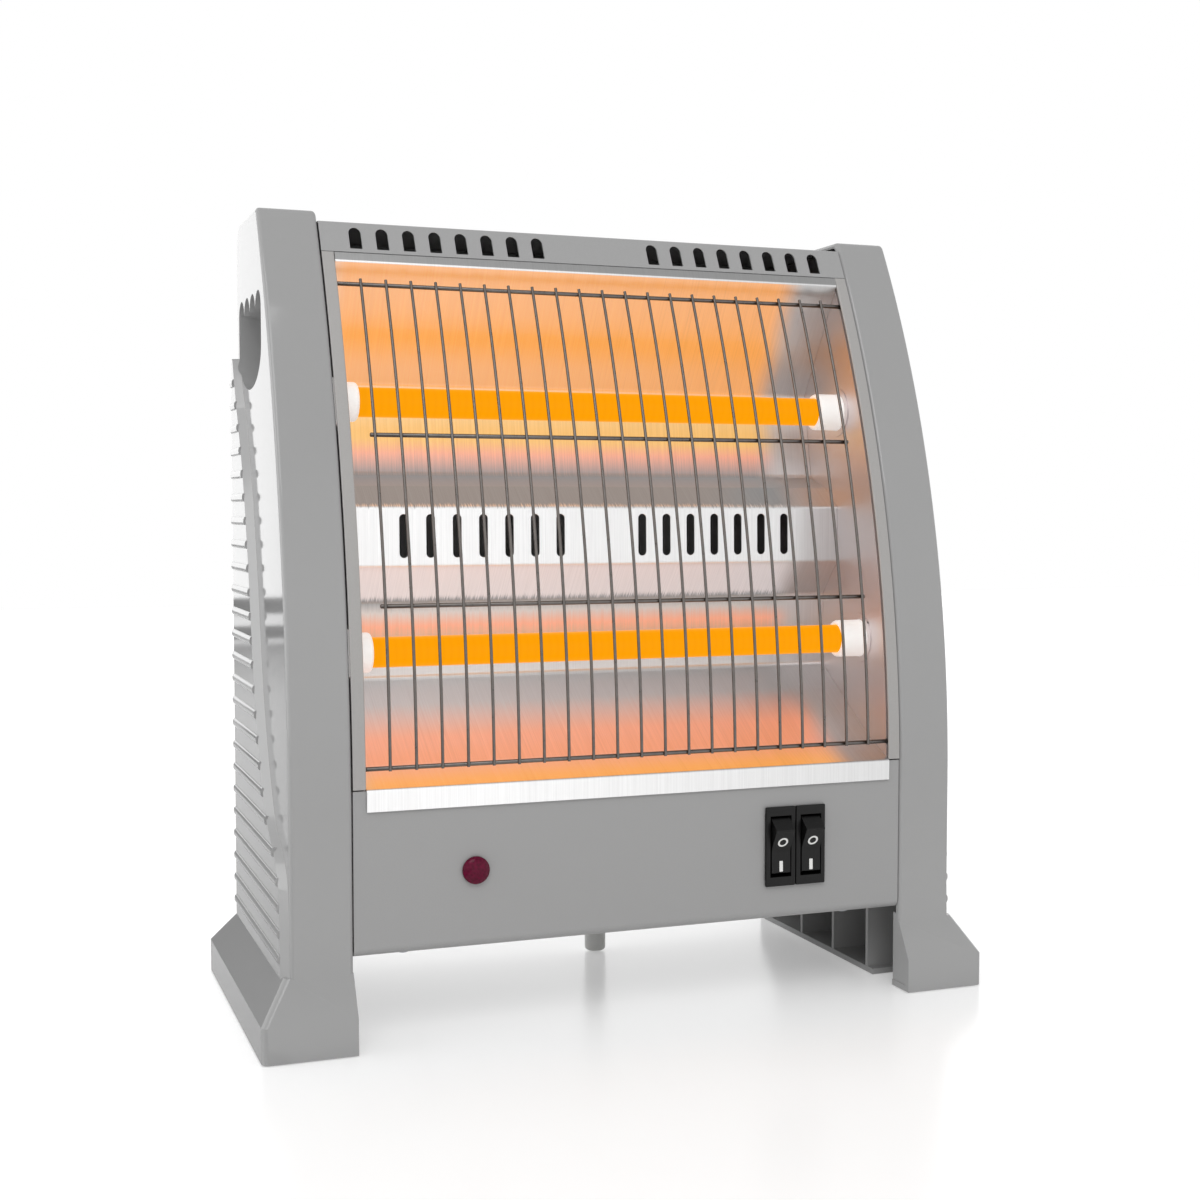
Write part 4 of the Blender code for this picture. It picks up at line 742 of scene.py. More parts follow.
def wireTree():
    # upright wires along the bow, at an even pitch
    tree, given = startTree(
        "bowed guard wires",
        [
            ("Count", "Int", 21),
            ("Pitch", "Float", 0.0107),
            ("Wire Radius", "Float", 0.00065),
            ("Low", "Float", 0.1),
            ("High", "Float", 0.3),
            ("Bow Radius", "Float", 0.51),
            ("Bow Start", "Float", 0.092),
            ("Bow Centre Y", "Float", 0.44),
        ],
    )
    start = addNode(tree, "ShaderNodeCombineXYZ", {"Z": given["Low"]})
    end = addNode(tree, "ShaderNodeCombineXYZ", {"Z": given["High"]})
    line = addNode(
        tree, "GeometryNodeCurvePrimitiveLine", {"Start": start.outputs[0], "End": end.outputs[0]}
    )
    fine = addNode(tree, "GeometryNodeResampleCurve", {"Curve": line.outputs[0], "Count": 40})
    height = addNode(
        tree, "ShaderNodeSeparateXYZ", {0: addNode(tree, "GeometryNodeInputPosition").outputs[0]}
    ).outputs["Z"]
    rise = addNode(
        tree, "ShaderNodeMath", {0: height, 1: given["Bow Start"]}, operation="SUBTRACT"
    ).outputs[0]
    riseSquare = addNode(tree, "ShaderNodeMath", {0: rise, 1: rise}, operation="MULTIPLY").outputs[0]
    bowSquare = addNode(
        tree, "ShaderNodeMath", {0: given["Bow Radius"], 1: 2.0}, operation="POWER"
    ).outputs[0]
    rest = addNode(tree, "ShaderNodeMath", {0: bowSquare, 1: riseSquare}, operation="SUBTRACT").outputs[0]
    root = addNode(tree, "ShaderNodeMath", {0: rest}, operation="SQRT").outputs[0]
    bow = addNode(
        tree, "ShaderNodeMath", {0: given["Bow Centre Y"], 1: root}, operation="SUBTRACT"
    ).outputs[0]
    shift = addNode(tree, "ShaderNodeCombineXYZ", {"Y": bow})
    bent = addNode(
        tree, "GeometryNodeSetPosition", {"Geometry": fine.outputs[0], "Offset": shift.outputs[0]}
    )
    ring = addNode(
        tree, "GeometryNodeCurvePrimitiveCircle", {"Resolution": 12, "Radius": given["Wire Radius"]}
    )
    tube = addNode(
        tree,
        "GeometryNodeCurveToMesh",
        {"Curve": bent.outputs[0], "Profile Curve": ring.outputs[0], "Fill Caps": True},
    )
    gaps = addNode(tree, "ShaderNodeMath", {0: given["Count"], 1: 1.0}, operation="SUBTRACT").outputs[0]
    span = addNode(tree, "ShaderNodeMath", {0: given["Pitch"], 1: gaps}, operation="MULTIPLY").outputs[0]
    left = addNode(tree, "ShaderNodeMath", {0: span, 1: -0.5}, operation="MULTIPLY").outputs[0]
    first = addNode(tree, "ShaderNodeCombineXYZ", {"X": left})
    step = addNode(tree, "ShaderNodeCombineXYZ", {"X": given["Pitch"]})
    row = addNode(
        tree,
        "GeometryNodeMeshLine",
        {"Count": given["Count"], "Start Location": first.outputs[0], "Offset": step.outputs[0]},
    )
    many = addNode(
        tree, "GeometryNodeInstanceOnPoints", {"Points": row.outputs[0], "Instance": tube.outputs[0]}
    )
    return endTree(tree, many.outputs[0], given["Finish"])


def perforationTree():
    # a row of equal openings cut through a sheet, mirrored about the middle
    tree, given = startTree(
        "perforated sheet",
        [
            ("Count", "Int", 8),
            ("First", "Float", 0.02),
            ("Pitch", "Float", 0.011),
            ("Punch", "Object", None),
        ],
    )
    punch = addNode(tree, "GeometryNodeObjectInfo", {"Object": given["Punch"]}, transform_space="ORIGINAL")
    rows = addNode(tree, "GeometryNodeJoinGeometry")
    for side in (-1.0, 1.0):
        start = addNode(
            tree, "ShaderNodeMath", {0: given["First"], 1: side}, operation="MULTIPLY"
        ).outputs[0]
        stride = addNode(
            tree, "ShaderNodeMath", {0: given["Pitch"], 1: side}, operation="MULTIPLY"
        ).outputs[0]
        first = addNode(tree, "ShaderNodeCombineXYZ", {"X": start})
        step = addNode(tree, "ShaderNodeCombineXYZ", {"X": stride})
        row = addNode(
            tree,
            "GeometryNodeMeshLine",
            {"Count": given["Count"], "Start Location": first.outputs[0], "Offset": step.outputs[0]},
        )
        tree.links.new(row.outputs[0], rows.inputs[0])
    many = addNode(
        tree,
        "GeometryNodeInstanceOnPoints",
        {"Points": rows.outputs[0], "Instance": punch.outputs["Geometry"]},
    )
    punches = addNode(tree, "GeometryNodeRealizeInstances", {"Geometry": many.outputs[0]})
    cut = addNode(
        tree,
        "GeometryNodeMeshBoolean",
        {"Mesh 1": given["Geometry"], "Mesh 2": punches.outputs[0]},
        operation="DIFFERENCE",
        solver="EXACT",
    )
    return endTree(tree, cut.outputs[0], given["Finish"])


def scatterTree():
    # one pattern part on every point, turned and stretched as the points say
    tree, given = startTree("parts on points", [("Part", "Object", None)])
    part = addNode(tree, "GeometryNodeObjectInfo", {"Object": given["Part"]}, transform_space="ORIGINAL")
    facing = addNode(tree, "GeometryNodeInputNamedAttribute", {"Name": "facing"}, data_type="FLOAT_VECTOR")
    stretch = addNode(
        tree, "GeometryNodeInputNamedAttribute", {"Name": "stretch"}, data_type="FLOAT_VECTOR"
    )
    turn = addNode(tree, "FunctionNodeAlignRotationToVector", {"Vector": facing.outputs[0]}, axis="Z")
    many = addNode(
        tree,
        "GeometryNodeInstanceOnPoints",
        {
            "Points": given["Geometry"],
            "Instance": part.outputs["Geometry"],
            "Rotation": turn.outputs[0],
            "Scale": stretch.outputs[0],
        },
    )
    return endTree(tree, many.outputs[0], given["Finish"])


def coilTree():
    # a helix along Z of round wire
    tree, given = startTree(
        "wound wire",
        [
            ("Turns", "Float", 10.0),
            ("Coil Radius", "Float", 0.003),
            ("Length", "Float", 0.2),
            ("Wire Radius", "Float", 0.0005),
            ("Points Per Turn", "Int", 16),
            ("Tail", "Float", 0.0),
        ],
    )
    spiral = addNode(
        tree,
        "GeometryNodeCurveSpiral",
        {
            "Resolution": given["Points Per Turn"],
            "Rotations": given["Turns"],
            "Start Radius": given["Coil Radius"],
            "End Radius": given["Coil Radius"],
            "Height": given["Length"],
        },
    )
    ring = addNode(
        tree, "GeometryNodeCurvePrimitiveCircle", {"Resolution": 8, "Radius": given["Wire Radius"]}
    )
    # each end runs out to the axis, a tail's length beyond the winding
    before = addNode(tree, "ShaderNodeMath", {0: given["Tail"], 1: -1.0}, operation="MULTIPLY").outputs[0]
    after = addNode(
        tree, "ShaderNodeMath", {0: given["Length"], 1: given["Tail"]}, operation="ADD"
    ).outputs[0]
    wires = addNode(tree, "GeometryNodeJoinGeometry", {0: spiral.outputs[0]})
    for axisZ, woundZ in ((before, 0.0), (after, given["Length"])):
        onAxis = addNode(tree, "ShaderNodeCombineXYZ", {"Z": axisZ})
        onCoil = addNode(tree, "ShaderNodeCombineXYZ", {"X": given["Coil Radius"], "Z": woundZ})
        ends = {"Start": onAxis.outputs[0], "End": onCoil.outputs[0]}
        tree.links.new(addNode(tree, "GeometryNodeCurvePrimitiveLine", ends).outputs[0], wires.inputs[0])
    tube = addNode(
        tree,
        "GeometryNodeCurveToMesh",
        {"Curve": wires.outputs[0], "Profile Curve": ring.outputs[0], "Fill Caps": True},
    )
    return endTree(tree, tube.outputs[0], given["Finish"])


guardTree, sheetTree, pointTree, windingTree = wireTree(), perforationTree(), scatterTree(), coilTree()


def placeParts(name, pattern, rows, finish):
    # rows hold a place, the way that the pattern's Z points, and its stretch
    mesh = bpy.data.meshes.new(name)
    mesh.from_pydata([place for place, facing, stretch in rows], [], [])
    for label, column in (("facing", 1), ("stretch", 2)):
        attribute = mesh.attributes.new(label, "FLOAT_VECTOR", "POINT")
        attribute.data.foreach_set("vector", [value for row in rows for value in row[column]])
    made = growTree(linkMesh(name, mesh), pointTree, {"Part": pattern, "Finish": finish})
    bpy.data.objects.remove(pattern)
    return made


print("node trees ready")


cover = {
    "wall": 0.0025,
    "innerEdge": 0.0018,
    "outerEdge": 0.0016,
    "browRadius": 0.0038,
    "crestRadius": 0.0110,
    "bowSteps": 36,
    "footX": 0.160,
    "footTopX": 0.1498,
    "bandHeight": 0.0142,
    "footTopZ": 0.0303,
    "footCorner": 0.0025,
    "ribAt": (0.0377, 0.0702, 0.1027),
    "ribThickness": 0.0020,
    "footReturn": 0.0140,
    "notchLength": 0.0175,
    "notchDepth": 0.0130,
}
ribbedPanel = {
    "rise": 0.0030,
    "bevel": 0.0050,
    "tipRadius": 0.0013,
    "tip": (0.1208, 0.2790),
    "front": (
        (0.0094, 0.0280),
        (0.0110, 0.0600),
        (0.0180, 0.0735),
        (0.0390, 0.0875),
        (0.0540, 0.1100),
        (0.0670, 0.1415),
        (0.0780, 0.1860),
        (0.0910, 0.2270),
        (0.1080, 0.2590),
    ),
    "beads": 24,
    "beadTop": 0.2680,
    "beadPitch": 0.01007,
    "beadHeight": 0.0036,
    "beadRise": 0.0009,
}
grip = {
    "scallopRadius": 0.00735,
    "scallops": 4,
    "firstAt": 0.0692,
    "scallopZ": 0.2957,
    "sideZ": 0.2810,
    "bottomZ": 0.2635,
    "depth": 0.0120,
    "cupCorner": 0.006,
    "cupFoot": 0.018,
}


def coverSection(inset, low, high):
    corners = [(bowY(low, inset), low, 0)]
    start = max(low, shell["bowStart"])
    for step in range(cover["bowSteps"]):
        z = start + (high - start) * step / cover["bowSteps"]
        if z > low:
            corners.append((bowY(z, inset), z, 0))
    corners.append((bowY(high, inset), high, max(cover["browRadius"] - inset / 2, 0.001)))
    corners.append((rearY(high, inset), high, max(cover["crestRadius"] - inset, 0.002)))
    corners.append((rearY(low, inset), low, 0))
    return rounded(corners, steps=10)


def coverSkin(name, inset, low, stations):
    rings = []
    for x, more in stations:
        outline = coverSection(inset + more, low, shell["height"] - inset - more)
        rings.append([(x, y, z) for y, z in outline])
    return loft(name, rings)


def footSkin(name, inset, innerX, floorZ, topZ):
    rings = []
    front, rear = fromFront(inset), shell["halfDepth"] - inset
    for z, out, frontY, rearEdge in (
        (floorZ, cover["footX"] - inset, front, rear),
        (cover["bandHeight"], cover["footX"] - inset, front, rear),
        (
            topZ,
            cover["footTopX"] - inset,
            fromFront(shell["frontSet"]) + shell["gap"] + inset,
            shell["rearY"] - inset,
        ),
    ):
        corner = cover["footCorner"]
        outline = rounded(
            [(innerX, frontY, 0), (out, frontY, corner), (out, rearEdge, corner), (innerX, rearEdge, 0)]
        )
        rings.append([(x, y, z) for x, y in outline])
    return loft(name, rings)


def panelOutline(shift, inset=0.0):
    edge = smoothCurve(ribbedPanel["front"])
    tipY, tipZ = ribbedPanel["tip"][0] - 3 * inset, ribbedPanel["tip"][1] - 5 * inset
    rearEdge = cover["wall"] / 2 + inset
    tipRadius = ribbedPanel["tipRadius"] / (1 + inset / cover["wall"])
    points = [(fromFront(y) + shift + inset, z, 0) for y, z in edge]
    points.append((fromFront(tipY) + shift / 3 + inset, tipZ, tipRadius))
    points.append((rearY(tipZ, rearEdge), tipZ, tipRadius))
    points.append((rearY(edge[0][1], rearEdge), edge[0][1], 0))
    return rounded(points)


def panelFrontY(z):
    edge = [*smoothCurve(ribbedPanel["front"]), ribbedPanel["tip"]]
    for (y0, z0), (y1, z1) in zip(edge, edge[1:]):
        if z0 <= z <= z1:
            return fromFront(y0 + (y1 - y0) * (z - z0) / (z1 - z0))
    return fromFront(edge[-1][0])


def gripOutline():
    pitch = 2 * grip["scallopRadius"]
    last = grip["firstAt"] + pitch * (grip["scallops"] - 1)
    left = fromFront(grip["firstAt"] - grip["scallopRadius"])
    right = fromFront(last + grip["scallopRadius"])
    path = []
    for i in reversed(range(grip["scallops"])):
        centre = (fromFront(grip["firstAt"] + pitch * i), grip["scallopZ"])
        path += arc(centre, grip["scallopRadius"], 4, 176, 14)
    middle, half = (left + right) / 2, (right - left) / 2
    for point in arc((0, 0), 1, 180, 360, 32):
        path.append(
            Vector( (middle + half * point.x, grip["sideZ"] + (grip["sideZ"] - grip["bottomZ"]) * point.y) )
        )
    return path


def makeCover():
    innerX, outerX, wall = shell["innerX"], shell["outerX"], cover["wall"]
    stations = []
    for angle in (0, 22, 45, 67, 90):
        a = math.radians(angle)
        stations.append(
            (innerX + cover["innerEdge"] * (1 - math.cos(a)), cover["innerEdge"] * (1 - math.sin(a)))
        )
    for angle in (90, 72, 54, 36, 18, 0):
        a = math.radians(angle)
        stations.append(
            (outerX - cover["outerEdge"] * (1 - math.cos(a)), cover["outerEdge"] * (1 - math.sin(a)))
        )
    made = coverSkin("coverRight", 0.0, cover["bandHeight"] * 0.8, stations)
    foot = footSkin("foot", 0.0, innerX, 0.0, cover["footTopZ"])
    rings = []
    for x, shift in (
        (outerX - wall / 2, 0.0), (outerX, 0.0), (outerX + ribbedPanel["rise"], ribbedPanel["bevel"])
    ):
        rings.append([(x, y, z) for y, z in panelOutline(shift)])
    raised = loft("raisedPanel", rings)

    # beads: one half-round bar, stretched to the panel's width at each height
    half, rise = ribbedPanel["beadHeight"] / 2, ribbedPanel["beadRise"]
    profile = [(0.0, -half), *[tuple(p) for p in arc((0, 0), 1, -90, 90, 10)], (0.0, half)]
    profile = [(-rise * 2, -half)] + [(x * rise, z * half) for x, z in profile[1:-1]] + [(-rise * 2, half)]
    bar = loft("bead", [[(x, y, z) for x, z in profile] for y in (0.0, 1.0)])
    rows = []
    for i in range(ribbedPanel["beads"]):
        z = ribbedPanel["beadTop"] - ribbedPanel["beadPitch"] * i
        start = panelFrontY(z) + ribbedPanel["bevel"] * 1.05
        length = rearY(z, wall / 2 + shell["gap"]) - start
        rows.append(((outerX + ribbedPanel["rise"], start, z), (0.0, 0.0, 1.0), (1.0, length, 1.0)))
    beads = placeParts("beads", bar, rows, coverAbs)
    made = combine(made, [foot, raised, beads], "UNION")

    openX = innerX - wall
    hollow = coverSkin("hollow", wall, cover["footTopZ"] - wall / 2, ((openX, 0.0), (outerX - wall, 0.0)))
    footHollow = footSkin("footHollow", wall, openX, wall, cover["footTopZ"] + shell["gap"])
    made = combine(made, [hollow, footHollow], "DIFFERENCE")

    outline = gripOutline()
    left, right = min(p.x for p in outline), max(p.x for p in outline)
    bottom, top = min(p.y for p in outline), max(p.y for p in outline)
    cupOutline = rounded(
        [
            (left - wall, top + wall, grip["cupCorner"]),
            (left - wall, bottom - wall, grip["cupFoot"]),
            (right + wall * 1.4, bottom - wall, grip["cupFoot"]),
            (right + wall * 1.4, top + wall, grip["cupCorner"]),
        ]
    )
    pocketX = outerX - grip["depth"]
    made = combine(made, [plate("cup", [cupOutline], "X", pocketX - wall, outerX - wall * 0.8)], "UNION")
    made = combine(made, [plate("pocket", [outline], "X", pocketX, outerX + 0.006)], "DIFFERENCE")

    inside = innerX + shell["gap"]
    ribOutline = [
        Vector((inside, wall * 0.6)),
        Vector((cover["footX"] - wall * 0.6, wall * 0.6)),
        Vector((cover["footX"] - wall * 0.6, cover["bandHeight"])),
        Vector((cover["footTopX"] - wall * 0.7, cover["footTopZ"])),
        Vector((outerX - wall * 0.6, cover["footTopZ"] + wall)),
        Vector((inside, cover["footTopZ"] + wall)),
    ]
    ribs = []
    for distance in cover["ribAt"]:
        y = fromFront(distance)
        ribs.append(
            plate("rib", [ribOutline], "Y", y - cover["ribThickness"] / 2, y + cover["ribThickness"] / 2)
        )
    frontY = fromFront(shell["frontSet"])
    cornerOutline = [
        Vector((fromFront(wall * 0.6), wall * 0.6)),
        Vector((fromFront(cover["footReturn"]), wall * 0.6)),
        Vector((fromFront(cover["footReturn"]), cover["footTopZ"] + wall)),
        Vector((frontY + wall * 0.6, cover["footTopZ"] + wall)),
        Vector((frontY + wall * 0.6, cover["footTopZ"])),
        Vector((fromFront(wall * 0.6), cover["bandHeight"])),
    ]
    ribs.append(plate("corner", [cornerOutline], "X", inside, inside + wall))
    made = combine(made, ribs, "UNION")
    notch = box(
        "notch",
        (innerX - wall, fromFront(cover["footReturn"]), -wall),
        (innerX + cover["notchDepth"], fromFront(cover["footReturn"] + cover["notchLength"]), wall * 1.2),
    )
    return softEdges(mergeDoubles(combine(made, [notch], "DIFFERENCE")), 0)


coverRight = makeCover()
coverLeft = mirrorTwin(coverRight, "coverLeft")
fitPiece(coverRight, coverAbs, ["side_cover_right"])
fitPiece(coverLeft, coverAbs, ["side_cover_left"])
print("side covers made")


sheets = {
    "thickness": 0.0010,
    "halfWidth": 0.1222,
    "topZ": 0.3330,
    "topBend": 0.0020,
    "lipTopZ": 0.3193,
    "rearRecess": 0.0020,
    "rearFlange": 0.0110,
    "lowerFront": 0.0094,
    "lowerBottom": 0.0360,
    "lowerBend": 0.0035,
    "lowerFlange": 0.0260,
    "windowBottom": 0.1023,
    "windowTop": 0.3155,
    "edge": 0.0002,
}
outlets = {"count": 8, "first": 0.0270, "pitch": 0.01147, "width": 0.0052, "low": 0.3212, "high": 0.3305}
screwHoles = {"radius": 0.0017}


def makeTopPanel():
    z, gap = sheets["topZ"], shell["gap"]
    lowest = sheets["lipTopZ"] + gap
    front = [
        (bowY(lowest + (z - lowest) * i / 6), lowest + (z - lowest) * i / 6, 0) for i in reversed(range(6))
    ]
    path = [
        (rearY(z - sheets["rearFlange"], sheets["rearRecess"]), z - sheets["rearFlange"], 0),
        (rearY(z, sheets["rearRecess"]), z, sheets["topBend"]),
        (bowY(z), z, sheets["topBend"]),
        *front[1:],
    ]
    made = bentSheet("topPanel", rounded(path, closed=False), sheets["thickness"], sheets["halfWidth"])
    r, low, high = outlets["width"] / 2, outlets["low"], outlets["high"]
    outline = [Vector((-r, low)), Vector((r, low)), *arc((0, high - r), r, 0, 180, 16)]
    punch = plate("punch", [outline], "Y", bowY(low) - 0.004, bowY(z) + 0.004)
    values = {"Count": outlets["count"], "First": outlets["first"], "Pitch": outlets["pitch"]}
    made = growTree(made, sheetTree, {**values, "Punch": punch, "Finish": panelPaint})
    bpy.data.objects.remove(punch)
    return softEdges(mergeDoubles(made), sheets["edge"], 2)


def makeLowerPanel():
    front = fromFront(sheets["lowerFront"])
    path = [
        (front, sheets["windowBottom"] - shell["gap"], 0),
        (front, sheets["lowerBottom"], sheets["lowerBend"]),
        (fromFront(sheets["lowerFlange"]), sheets["lowerBottom"], 0),
    ]
    made = bentSheet(
        "lowerPanel", rounded(path, closed=False, steps=10), sheets["thickness"], sheets["halfWidth"]
    )
    holes = []
    low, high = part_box("switch_body_left")[0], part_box("switch_body_right")[1]
    half = 0.0145
    middleZ = (low.z + high.z) / 2
    outline = [(low.x + 0.0003, middleZ - half), (high.x - 0.0003, middleZ - half)]
    outline += [(high.x - 0.0003, middleZ + half), (low.x + 0.0003, middleZ + half)]
    holes.append([Vector(p) for p in outline])
    lensLow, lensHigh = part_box("neon_lens")
    holes.append(circle(((lensLow.x + lensHigh.x) / 2, (lensLow.z + lensHigh.z) / 2), 0.0045))
    made = combine(made, [plate("holes", holes, "Y", front - 0.004, front + 0.004)], "DIFFERENCE")
    return softEdges(made, sheets["edge"], 2)


fitPiece(makeTopPanel(), panelPaint, ["top_panel"])
fitPiece(makeLowerPanel(), panelPaint, ["lower_panel"])
print("painted sheets made")


reflector = {
    "thickness": 0.0006,
    "halfWidth": 0.1168,
    "folds": (
        (0.0763, 0.2900, 0.003),
        (0.0913, 0.2670, 0.003),
        (0.0845, 0.2276, 0.003),
        (0.0700, 0.2225, 0.002),
        (0.0578, 0.2135, 0.002),
        (0.0573, 0.1887, 0.002),
        (0.0710, 0.1730, 0.003),
        (0.0713, 0.1397, 0.003),
        (0.0245, 0.1095, 0.003),
    ),
    "stripAt": 0.0083,
    "stripLow": 0.0936,
    "edge": 0.0001,
}
bandSlots = {"count": 7, "first": 0.0192, "pitch": 0.01167, "width": 0.0038, "low": 0.1920, "high": 0.2105}


def makeReflector():
    top, window = sheets["lipTopZ"], sheets["windowTop"]
    path = [
        (bowY(top), top, 0),
        (bowY((top + window) / 2), (top + window) / 2, 0),
        (bowY(window), window, 0.0008),
    ]
    path += [(fromFront(y), z, radius) for y, z, radius in reflector["folds"]]
    path.append((fromFront(reflector["stripAt"]), sheets["windowBottom"], 0.0010))
    path.append((fromFront(reflector["stripAt"]), reflector["stripLow"], 0))
    made = bentSheet(
        "reflectorSheet", rounded(path, closed=False), reflector["thickness"], reflector["halfWidth"]
    )
    r = bandSlots["width"] / 2
    outline = arc((0, bandSlots["high"] - r), r, 0, 180, 12) + arc(
        (0, bandSlots["low"] + r), r, 180, 360, 12
    )
    band = fromFront(reflector["folds"][4][0])
    punch = plate("punch", [outline], "Y", band - 0.004, band + 0.004)
    values = {"Count": bandSlots["count"], "First": bandSlots["first"], "Pitch": bandSlots["pitch"]}
    made = growTree(made, sheetTree, {**values, "Punch": punch, "Finish": reflectorWithPaintedLight})
    bpy.data.objects.remove(punch)
    made = softEdges(mergeDoubles(made), reflector["edge"], 1)
    # mask for the painted tube light: the sheet's front faces within the window get it; its back stays dark
    lit = made.data.attributes.new("lit", "FLOAT", "FACE")
    low, high = sheets["windowBottom"] + 0.0005, window - 0.0004
    faces = made.data.polygons
    lit.data.foreach_set("value", [float(f.normal.y < 0.05 and low < f.center.z < high) for f in faces])
    return made


fitPiece(makeReflector(), reflectorWithPaintedLight, ["reflector"])
print("reflector made")


guard = {
    "uprights": 21,
    "pitch": 0.0107,
    "uprightRadius": 0.00065,
    "crossRadius": 0.00090,
    "crossZ": (0.1103, 0.1741, 0.2426, 0.3057),
    "overhang": 0.0022,
    "lowOverhang": 0.0010,
    "weld": 0.0003,
    "setback": 0.0004,
    "endX": 0.1176,
}


def makeGuard():
    low, high = guard["crossZ"][0] - guard["lowOverhang"], guard["crossZ"][-1] + guard["overhang"]
    centreY = fromFront(shell["frontSet"]) + shell["bowRadius"] + guard["setback"] + guard["uprightRadius"]
    values = {
        "Count": guard["uprights"],
        "Pitch": guard["pitch"],
        "Wire Radius": guard["uprightRadius"],
        "Low": low,
        "High": high,
        "Bow Radius": shell["bowRadius"],
        "Bow Start": shell["bowStart"],
        "Bow Centre Y": centreY,
        "Finish": guardNickel,
    }
    made = growTree(linkMesh("guardUprights", bpy.data.meshes.new("guardUprights")), guardTree, values)
    made.data.shade_smooth()
    made.data.set_sharp_from_angle(angle=math.radians(50))
    widest = guard["pitch"] * (guard["uprights"] - 1) / 2
    behind = guard["setback"] + 2 * guard["uprightRadius"] + guard["crossRadius"] - guard["weld"]
    bm = bmesh.new()
    for z in guard["crossZ"]:
        reach = guard["endX"] if z in (guard["crossZ"][0], guard["crossZ"][-1]) else widest + 0.0018
        y, r = bowY(z) + behind, guard["crossRadius"]
        soft = r * 0.3
        profile = [
            (0, 2 * reach), (r - soft, 2 * reach), (r, 2 * reach - soft), (r, soft), (r - soft, 0), (0, 0)
        ]
        part = turned("cross", profile, (-reach, y, z), (1, 0, 0), 20)
        bm.from_mesh(part.data)
        bpy.data.objects.remove(part)
    mesh = bpy.data.meshes.new("guardCrossWires")
    bm.to_mesh(mesh)
    bm.free()
    crosses = linkMesh("guardCrossWires", mesh)
    crosses.data.shade_smooth()
    crosses.data.set_sharp_from_angle(angle=math.radians(50))
    return made, crosses


guardUprights, guardCrosses = makeGuard()
fitPiece(guardUprights, guardNickel, ["guard_grille"])
fitPiece(guardCrosses, guardNickel, [])
print("guard made")


def centreOf(nodeName):
    low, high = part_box(nodeName)
    return (low + high) / 2


def placedCopy(pattern, name, place, side=1):
    # the pattern lies at the origin and points along +X
    mesh = pattern.data.copy()
    mesh.name = name
    if side < 0:
        mesh.transform(Matrix.Diagonal((-1, 1, 1, 1)))
        mesh.flip_normals()
    mesh.transform(Matrix.Translation(place))
    return linkMesh(name, mesh)


def softBox(name, low, high, edge=0.0003):
    return softEdges(box(name, low, high), edge, 2)


trim = {
    "innerX": 0.1169,
    "flangeX": 0.1179,
    "flangeDepth": 0.0095,
    "innerBend": 0.0007,
    "outerBend": 0.0003,
    "steps": 48,
}


def makeTrim():
    # a rolled strip: its face beside the window, its flange along the end plate
    t, outer = sheets["thickness"], sheets["halfWidth"]
    section = rounded(
        [
            (trim["innerX"], 0.0, trim["innerBend"]),
            (outer, 0.0, trim["outerBend"]),
            (outer, t, trim["outerBend"]),
            (trim["flangeX"] + t, t, 0.0004),
            (trim["flangeX"] + t, trim["flangeDepth"], trim["outerBend"]),
            (trim["flangeX"], trim["flangeDepth"], trim["outerBend"]),
            (trim["flangeX"], t, 0),
            (trim["innerX"], t, trim["outerBend"]),
        ],
        steps=3,
    )
    low, high = sheets["windowBottom"] + shell["gap"], sheets["lipTopZ"]
    rings = []
    for step in range(trim["steps"] + 1):
        z = low + (high - low) * step / trim["steps"]
        rings.append([(x, bowY(z, inset), z) for x, inset in section])
    return softEdges(loft("trimRight", rings), 0)


trimRight = makeTrim()
fitPiece(mirrorTwin(trimRight, "trimLeft"), trimPaint, ["trim_strip_left"])
fitPiece(trimRight, trimPaint, ["trim_strip_right"])

endPlate = {
    "innerX": 0.1168,
    "thickness": 0.0008,
    "frontInset": 0.0023,
    "rearInset": 0.0046,
    "low": 0.0386,
    "high": 0.3317,
    "capHole": 0.00855,
    "screwHole": 0.0017,
    "collar": 0.0112,
    "collarRise": 0.0004,
    "edge": 0.0002,
}


def makeEndPlate():
    low, high, front = endPlate["low"], endPlate["high"], endPlate["frontInset"]
    heights = [low, *[shell["bowStart"] + (high - shell["bowStart"]) * i / 40 for i in range(41)]]
    outline = [Vector((bowY(z, front), z)) for z in heights]
    outline += [
        Vector((rearY(high, endPlate["rearInset"]), high)), Vector((rearY(low, endPlate["rearInset"]), low))
    ]
    tubes = [centreOf(name) for name in ("quartz_tube_upper", "quartz_tube_lower")]
    screws = [centreOf(f"cover_screw_right_{i}") for i in (1, 2, 3, 4)]
    innerX = endPlate["innerX"]
    made = plate("endPlateRight", [outline], "X", innerX, innerX + endPlate["thickness"])
    # a pressed collar stiffens the sheet around each cap
    collars = [circle((p.y, p.z), endPlate["collar"], 64) for p in tubes]
    made = combine(
        made, [plate("collars", collars, "X", innerX - endPlate["collarRise"], innerX + 0.0002)], "UNION"
    )
    holes = [circle((p.y, p.z), endPlate["capHole"], 64) for p in tubes]
    holes += [circle((p.y, p.z), endPlate["screwHole"], 24) for p in screws]
    cutters = [plate("holes", holes, "X", innerX - 0.002, innerX + 0.002)]
    for z in (guard["crossZ"][0], guard["crossZ"][-1]):
        y = bowY(z) + guard["setback"] + 2 * guard["uprightRadius"] + guard["crossRadius"] - guard["weld"]
        cutters.append(
            rod("notch", (innerX - 0.002, y, z), (innerX + 0.002, y, z), guard["crossRadius"] + 0.0003, 20),
        )
    return softEdges(combine(made, cutters, "DIFFERENCE"), endPlate["edge"], 2)


endPlateRight = makeEndPlate()
fitPiece(
    mirrorTwin(endPlateRight, "endPlateLeft"), cheekAluminium, ["end_plate_left"]
)
fitPiece(endPlateRight, cheekAluminium, ["end_plate_right"])
print("trim and end plates made")

